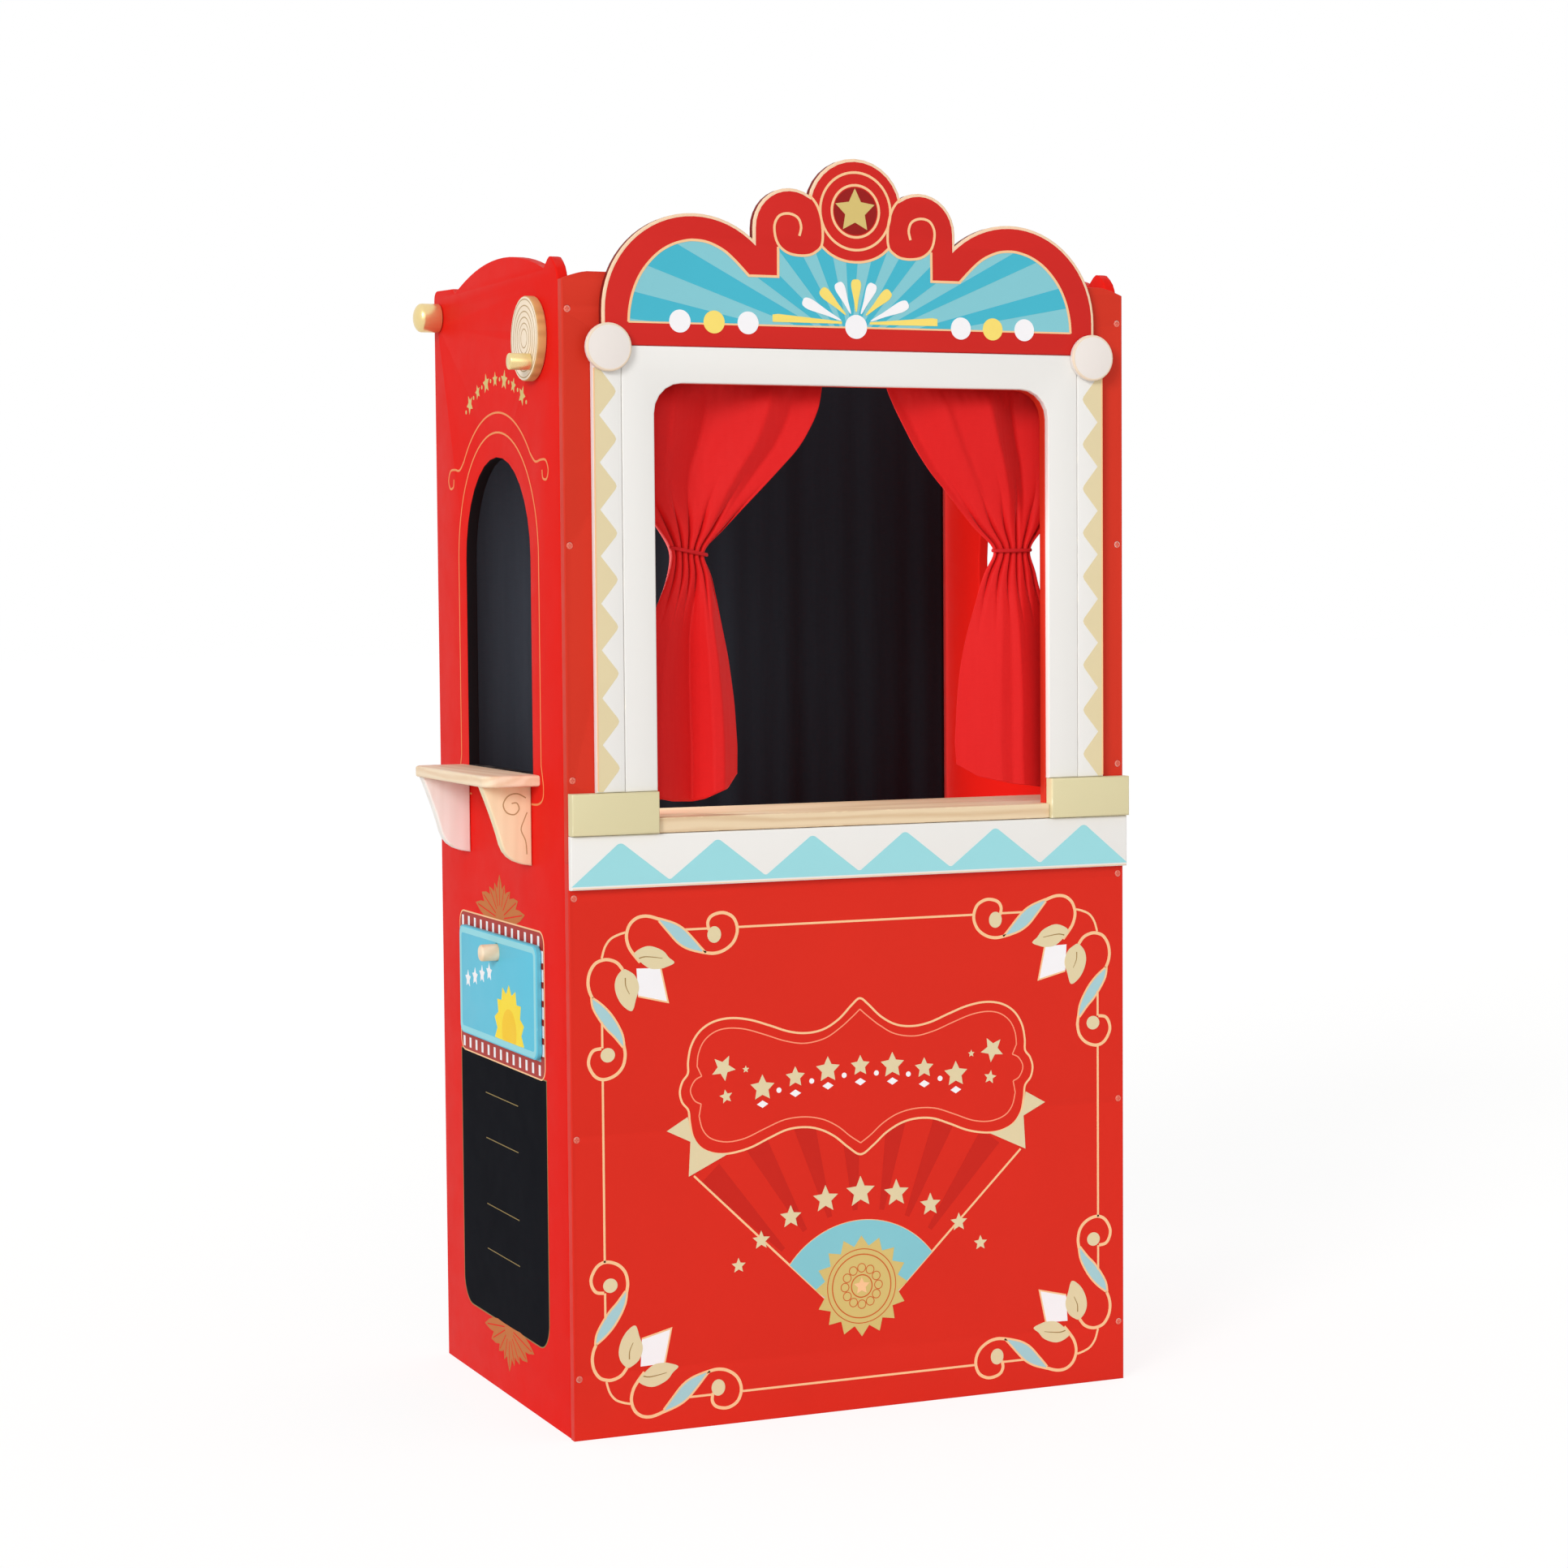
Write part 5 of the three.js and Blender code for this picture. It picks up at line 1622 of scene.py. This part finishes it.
@dataclass
class Screws:
    """The heads of the screws that hold the front boards, each with a cross recess."""

    radius: float = 3.5
    recess: float = 2.1
    slot_half: float = 0.5
    depth: float = 0.9
    crown: float = 0.35
    sides: int = 48
    rings: int = 12

    def build(self) -> None:
        """Builds one head for each screw node."""
        for name in sorted(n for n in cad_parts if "panel_screw" in n):
            self.head(name)

    def sunk(self, dx: float, dz: float, radius: float) -> float:
        """How far a point of a head lies below its crown."""
        near, far = sorted((abs(dx), abs(dz)))
        in_slot = near < self.slot_half and far < self.recess
        return self.crown * (math.hypot(dx, dz) / radius) ** 4 + (self.depth if in_slot else 0.0)

    def head(self, name: str) -> None:
        """Builds the head of one screw node."""
        low, high = (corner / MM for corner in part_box(name))
        x, _, z = (low + high) / 2
        radius = min(self.radius, (high.x - low.x) / 2)
        draft = Draft()
        rows = []
        for k in range(1, self.rings + 1):
            edge = 0.7 if k > 9 else 0.1
            offsets = circle((0.0, 0.0), radius * k / self.rings, sides=self.sides)
            places = [(x + a, low.y + self.sunk(a, b, radius), z + b) for a, b in offsets]
            rows.append([draft.point(place, edge) for place in places])
        centre = draft.point((x, low.y + self.depth, z))
        for first, second in sides_of(rows[0]):
            draft.face((centre, first, second), flat=False)
        back = min(high.y, low.y + 2.4)
        rim = [draft.point((draft.points[n][0], back, draft.points[n][2])) for n in rows[-1]]
        draft.loft(rows + [rim])
        draft.face(rim)
        draft.piece(name + "_head", SCREW_STEEL, "carcass", name, soft=30.0)


# Cloth and rods
def along(rows: Line, level: float) -> float:
    """Reads a value at a level from rows of level and value, given from the top down.

    Args:
        rows: The levels and values.
        level: The level.

    Returns:
        The value.
    """
    if level >= rows[0][0]:
        return rows[0][1]
    for (above, first), (below, second) in zip(rows, rows[1:]):
        if level >= below:
            return first + (second - first) * (above - level) / (above - below)
    return rows[-1][1]


def eased(rows: Line, level: float, reach: float = 9.0) -> float:
    """Reads the same value with the corners between rows rounded off."""
    return sum(along(rows, level + step * reach) for step in (-1.0, -0.5, 0.0, 0.5, 1.0)) / 5


def folded(knots: Line, at: float) -> float:
    """Reads a value at a place from knots of rising place and value, with softened creases."""
    return eased([(-place, value) for place, value in knots], -at, 0.012)


@dataclass
class Curtain:
    """One curtain: a cloth gathered on the rod, drawn in by a tie and loose below it.

    A share across runs from 0 outside to 1 inside, and a depth is positive away from the front.
    """

    side: str
    inner: Line
    outer: Line
    upper: Line
    lower: Line
    lift: Line
    hem: float
    phase: float
    slant: float = 0.0
    rod_y: float = -186.0
    rod_z: float = 1103.0
    casing: float = 9.0
    seam: float = 12.6
    below: float = 14.5
    gather: float = 12.0
    bulge: float = 4.4
    creases: float = 6.0
    tie_level: float = 910.0
    columns: int = 200
    ply: float = 0.8

    def build(self) -> bpy.types.Object:
        """Builds the cloth and its tie, and returns the cloth."""
        draft = Draft()
        shares = [i / (self.columns - 1) for i in range(self.columns)]
        path = self.casing_path()
        rows = [[draft.point(self.on_casing(share, y, z)) for share in shares] for y, z in path]
        rows += [[draft.point(self.on_cloth(share, level)) for share in shares] for level in self.levels()]
        draft.loft(rows, closed=False)
        names = (self.side + "_curtain_cloth", CURTAIN_CLOTH, self.side + "_drape", self.side + "_curtain")
        cloth = give_ply(draft.piece(*names, soft=80.0), self.ply)
        self.tie()
        return cloth

    def casing_path(self) -> list[Pair]:
        """The way of the cloth round the rod, from the seam behind to the seam in front."""
        seam = self.rod_z - self.seam
        arc = fan((0.0, self.rod_z), self.casing, -42, 222, 14)
        return [(1.1, self.rod_z - self.below), (1.4, seam)] + arc + [(-1.4, seam)]

    def levels(self) -> list[float]:
        """The levels of the cloth's rows below the casing, closer together near the tie."""
        made = []
        level = self.rod_z - self.below
        while level > self.hem:
            made.append(level)
            level -= 2.2 if abs(level - self.tie_level) < 30 else 4.6
        return made + [self.hem]

    def ripple(self, share: float) -> float:
        """The small gathers along the rod."""
        return math.sin(TURN * (9 * share + self.phase)) + 0.5 * math.sin(TURN * 21 * share)

    def across(self, share: float, level: float) -> float:
        """How far across a share hangs at a level."""
        outer = eased(self.outer, level)
        return outer + (eased(self.inner, level) - outer) * share

    def on_casing(self, share: float, y: float, z: float) -> Triple:
        """The place of a share on the casing, from its place on the even casing."""
        swell = 1 + 0.06 * self.ripple(share)
        rise = (z - self.rod_z) * (swell if z > self.rod_z else 1.0)
        return (self.across(share, self.rod_z), self.rod_y + y * swell, self.rod_z + rise)

    def on_cloth(self, share: float, level: float) -> Triple:
        """The place of a share of the cloth at a level below the casing.

        Args:
            share: The share across.
            level: The level before the hem's corners are lifted.

        Returns:
            The place.
        """
        away = level - self.tie_level
        near = math.exp(-((away / 40.0) ** 2))
        far = 1 - math.exp(-((away / 66.0) ** 2))
        top = max(0.0, min(1.0, (level - 1062.0) / 28.0))
        fold = folded(self.upper if away > 0 else self.lower, share)
        crease = (1 - abs(math.sin(math.pi * (self.creases * share + self.phase)))) ** 2
        round_front = math.sqrt(max(0.0, 1 - (2 * share - 1) ** 2))
        depth = fold * far * (1 - 0.75 * top)
        depth += near * (self.gather * crease - self.bulge * round_front)
        depth += 0.8 * top * self.ripple(share)
        depth = max(-14.5, min(15.0, depth))
        end = max(0.0, (self.hem + 62.0 - level) / 62.0)
        z = level + end * (folded(self.lift, share) - 0.2 * fold)
        return (self.across(share, level), self.rod_y + depth, z)

    def tie(self) -> None:
        """Builds the narrow band round the waist."""
        node = self.side + "_tieback"
        low, high = (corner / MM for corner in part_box(node))
        centre = (low + high) / 2
        outer, inner = (self.across(share, self.tie_level) for share in (0.0, 1.0))
        wide = abs(inner - outer) / 2 + 0.9
        deep = min((high.y - low.y) / 2 - 2.4, self.bulge + 2.6)
        draft = Draft()
        rows = []
        for c, s in circle((0.0, 0.0), 1.0, sides=72):
            sway = 0.5 * math.sin(math.atan2(s, c) + self.phase) - self.slant / 2 * c
            row = []
            for out, rise in circle((0.0, sway), 1.2, 1.9, sides=14):
                x = (outer + inner) / 2 + (wide + out) * c
                row.append(draft.point((x, centre.y + (deep + out) * s, centre.z + rise)))
            rows.append(row)
        draft.loft(rows + rows[:1])
        draft.piece(self.side + "_tie_band", TIE_CLOTH, self.side + "_drape", node, soft=60.0)


LEFT_CURTAIN = Curtain(
    side="left",
    inner=trace(
        1110, -20, 1081, -24, 1049, -34, 1018, -52, 987, -82, 955, -113, 924, -142, 914, -155,
        908, -158.5, 904, -157, 890, -149, 868, -144, 837, -138, 800, -130, 753, -123.5, 706, -120.5,
        650, -121,
    ),
    outer=trace(
        1110, -253, 1000, -253, 970, -238, 941, -213, 927, -203, 914, -194, 906, -192, 884, -197,
        866, -205, 855, -211, 820, -229, 780, -240, 740, -246, 650, -246,
    ),
    upper=trace(0, -4, 0.27, -12, 0.47, 13, 0.74, -13, 0.87, -3, 0.9, -5, 1, -11),
    lower=trace(0, -10, 0.28, -13, 0.62, 12, 0.76, -9, 0.84, -11, 1, 3),
    lift=trace(0, 12, 0.12, 3, 0.4, 0, 0.7, 2, 0.88, 11, 1, 28),
    hem=651.0,
    phase=0.13,
    slant=8.0,
)
RIGHT_CURTAIN = Curtain(
    side="right",
    inner=trace(
        1110, 46, 1082, 52, 1054, 66.5, 1019, 86, 992, 105, 969, 126, 946, 144, 927, 162, 914, 180,
        908, 182, 892, 170.5, 872, 163, 844, 156, 812, 147, 780, 141, 747, 137.5, 699, 135, 650, 137,
    ),
    outer=trace(
        1110, 281, 1000, 275, 965, 261, 932, 238, 922, 229, 914, 221, 906, 220.5, 891, 228.5, 872, 234,
        859, 240, 820, 254, 780, 264, 740, 270, 650, 272,
    ),
    upper=trace(0, -3, 0.2, 4, 0.33, 13, 0.5, -13, 0.7, -6, 0.74, -8, 0.94, 6, 1, 2),
    lower=trace(0, 13, 0.48, -13, 0.56, -9, 0.66, -10, 1, 8),
    lift=trace(0, 4, 0.26, 0, 0.5, 2, 0.68, 7, 0.84, 14, 1, 29),
    hem=653.0,
    phase=0.62,
)


@dataclass
class Hangings:
    """The curtains, the backdrop and the rods that carry them."""

    backdrop_half: float = 304.4
    backdrop_hem: float = 564.8
    backdrop_ply: float = 0.9
    columns: int = 150
    row_step: float = 9.0
    rod_y: float = 195.0
    rod_z: float = 1175.0
    pocket: float = 11.4
    below: float = 15.0
    knob_dome: float = 9.0

    def build(self) -> None:
        """Builds all the cloth, then the rods and knobs."""
        left = LEFT_CURTAIN.build()
        right = RIGHT_CURTAIN.build()
        back = self.backdrop()
        self.rods()

    def backdrop(self) -> bpy.types.Object:
        """Builds the black cloth with its pocket round the rod and soft folds down it.

        Returns:
            The cloth.
        """
        draft = Draft()
        shares = [i / (self.columns - 1) for i in range(self.columns)]
        start = self.rod_z - self.below
        path = [(1.0, start)] + fan((0.0, self.rod_z), self.pocket, -50, 230, 16)
        rows = [[draft.point((self.fold_x(share), self.rod_y + y, z)) for share in shares] for y, z in path]
        count = math.ceil((start - self.backdrop_hem) / self.row_step)
        for level in [start - i * self.row_step for i in range(count)] + [self.backdrop_hem]:
            rows.append([draft.point(self.on_backdrop(share, level)) for share in shares])
        draft.loft(rows, closed=False)
        cloth = draft.piece("backdrop_sheet", BACKDROP_CLOTH, "carcass", "backdrop_cloth", soft=80.0)
        return give_ply(cloth, self.backdrop_ply)

    def fold_x(self, share: float) -> float:
        """How far across a share of the backdrop's width lies."""
        return (2 * share - 1) * self.backdrop_half

    def on_backdrop(self, share: float, level: float) -> Triple:
        """The place of a point of the backdrop below its pocket."""
        down = (self.rod_z - level) / (self.rod_z - self.backdrop_hem)
        fold = math.sin(TURN * (4.3 * share + 0.1 + 0.05 * down))
        fold += 0.6 * math.sin(TURN * (9.7 * share + 0.4 - 0.08 * down))
        fold += 0.35 * math.sin(TURN * (17.3 * share + 0.2))
        depth = (0.6 + 1.6 * down) * fold * min(1.0, down * 6)
        return (self.fold_x(share), self.rod_y + depth, level)

    def rods(self) -> None:
        """Builds the two rods, the cups and the gold knobs."""
        Turned("curtain_rod", INSIDE_WOOD, "carcass").build()
        Turned("backdrop_rod", INSIDE_WOOD, "backdrop_roller").build()
        for side in ("left", "right"):
            cup = Turned(side + "_rod_cup", GOLD, "carcass", flip=side == "right")
            end, wide = cup.length, cup.radius
            cup.build(trace(0, wide, end - 2.5, wide, end - 0.9, wide - 0.8, end, wide - 2.4, end, 7.6))
            self.knob(Turned(side + "_rod_knob", GOLD, "backdrop_roller", flip=side == "left"))

    def knob(self, knob: Turned) -> None:
        """Builds one gold knob, a short drum with a domed end."""
        wide, dome = knob.radius, self.knob_dome
        profile = list(trace(0, 9.4, 0.05, wide - 1.6, 0.5, wide - 0.5, 1.6, wide))
        for i in range(13):
            angle = math.pi / 2 * i / 12
            profile.append((knob.length - dome + dome * math.sin(angle), max(0.05, wide * math.cos(angle))))
        knob.build(profile)


# Camera, floor and light
@dataclass
class Studio:
    """The photograph's camera, a plain pale floor and soft light."""

    place: Triple = (-1.42205308, -3.34279793, 0.870278285)
    yaw: float = 0.404967191
    pitch: float = 0.0594598099
    roll: float = -0.0078785093
    lens: float = 75.23
    sensor: float = 36.0
    clip: Pair = (0.05, 200.0)
    floor_half: float = 40.0
    floor_glow: float = 1.14
    floor_share: float = 0.72
    ambient: float = 0.56
    suns: tuple[tuple[str, float, float, Triple], ...] = (
        ("key", 1.27, 20.0, (-0.85, -0.7, 0.4)),
        ("fill", 0.7, 60.0, (-0.39, -0.92, 0.12)),
    )
    inside_power: float = 2.0
    inside_size: Pair = (0.2, 0.34)
    inside_place: Triple = (-0.296, 0.03, 0.84)

    def camera(self) -> None:
        """Makes the camera and aims it."""
        level = math.cos(self.pitch)
        forward = Vector((math.sin(self.yaw) * level, math.cos(self.yaw) * level, -math.sin(self.pitch)))
        right = Vector((math.cos(self.yaw), -math.sin(self.yaw), 0.0))
        up = right.cross(forward)
        c, s = math.cos(self.roll), math.sin(self.roll)
        data = bpy.data.cameras.new("view")
        data.lens = self.lens
        data.sensor_width = self.sensor
        data.sensor_fit = "HORIZONTAL"
        data.clip_start, data.clip_end = self.clip
        made = add_object("view", data)
        turn = Matrix((right * c + up * s, up * c - right * s, -forward)).transposed().to_4x4()
        made.matrix_world = Matrix.Translation(self.place) @ turn
        bpy.context.scene.camera = made

    def floor(self) -> None:
        """Makes the pale floor, which the camera sees near white with the stand's soft shadow on it."""
        mesh = bpy.data.meshes.new("floor")
        signs = ((-1, -1), (1, -1), (1, 1), (-1, 1))
        corners = [(a * self.floor_half, b * self.floor_half, 0.0) for a, b in signs]
        mesh.from_pydata(corners, [], [(0, 1, 2, 3)])
        paper = bpy.data.materials.new("floor_paper")
        w = clear_tree(paper)
        shade = w.node("BsdfDiffuse", {"Color": linear((244, 243, 241))})
        glow = w.node("Emission", {"Color": (1.0, 1.0, 1.0, 1.0), "Strength": self.floor_glow})
        share = w.calc("MULTIPLY", w.paper_rays(), self.floor_share)
        mixed = w.node("MixShader", {0: share, 1: shade.outputs[0], 2: glow.outputs[0]})
        w.node("OutputMaterial", {"Surface": mixed.outputs[0]})
        mesh.materials.append(paper)
        add_object("floor", mesh)

    def world(self) -> None:
        """Makes the soft surrounding light, which the camera and gloss see as white."""
        world = bpy.data.worlds.new("studio")
        bpy.context.scene.world = world
        w = clear_tree(world)
        soft, white = (
            w.node("Background", {"Color": (1.0, 1.0, 1.0, 1.0), "Strength": strength}).outputs[0]
            for strength in (self.ambient, 1.0)
        )
        mixed = w.node("MixShader", {0: w.paper_rays(), 1: soft, 2: white})
        w.node("OutputWorld", {"Surface": mixed.outputs[0]})

    def lamps(self) -> None:
        """Makes two broad soft lamps before the stand and a faint one inside the stage."""
        for name, energy, spread, way in self.suns:
            data = bpy.data.lights.new(name, "SUN")
            data.energy = energy
            data.angle = math.radians(spread)
            self.hang(data, (0.0, 0.0, 3.0), way)
        data = bpy.data.lights.new("inside", "AREA")
        data.shape = "RECTANGLE"
        data.size, data.size_y = self.inside_size
        data.energy = self.inside_power
        self.hang(data, self.inside_place, (-1.0, 0.0, 0.0))

    def hang(self, data: bpy.types.Light, place: Triple, way: Triple) -> None:
        """Hangs a lamp at a place.

        Args:
            data: The lamp.
            place: Where it hangs, in metres.
            way: The way from what it lights to the lamp.
        """
        made = add_object(data.name, data)
        made.location = place
        made.rotation_mode = "QUATERNION"
        made.rotation_quaternion = Vector(way).to_track_quat("Z", "Y")
        made.visible_camera = False

    def build(self) -> None:
        """Builds the floor, the world and the lamps, and sets the plain view transform."""
        self.floor()
        self.world()
        self.lamps()
        bpy.context.scene.view_settings.view_transform = "Standard"


def main() -> None:
    """Builds the camera, the stand and its surroundings in order."""
    logging.basicConfig(level=logging.INFO, format="%(name)s: %(message)s")
    studio = Studio()
    studio.camera()
    Carcass().build()
    StageFront().build()
    CrestPrint().build()
    LowerFrontPrint().build()
    LeftSidePrint().build()
    SideFittings().build()
    Screws().build()
    Hangings().build()
    studio.build()


if __name__ == "__main__":
    main()
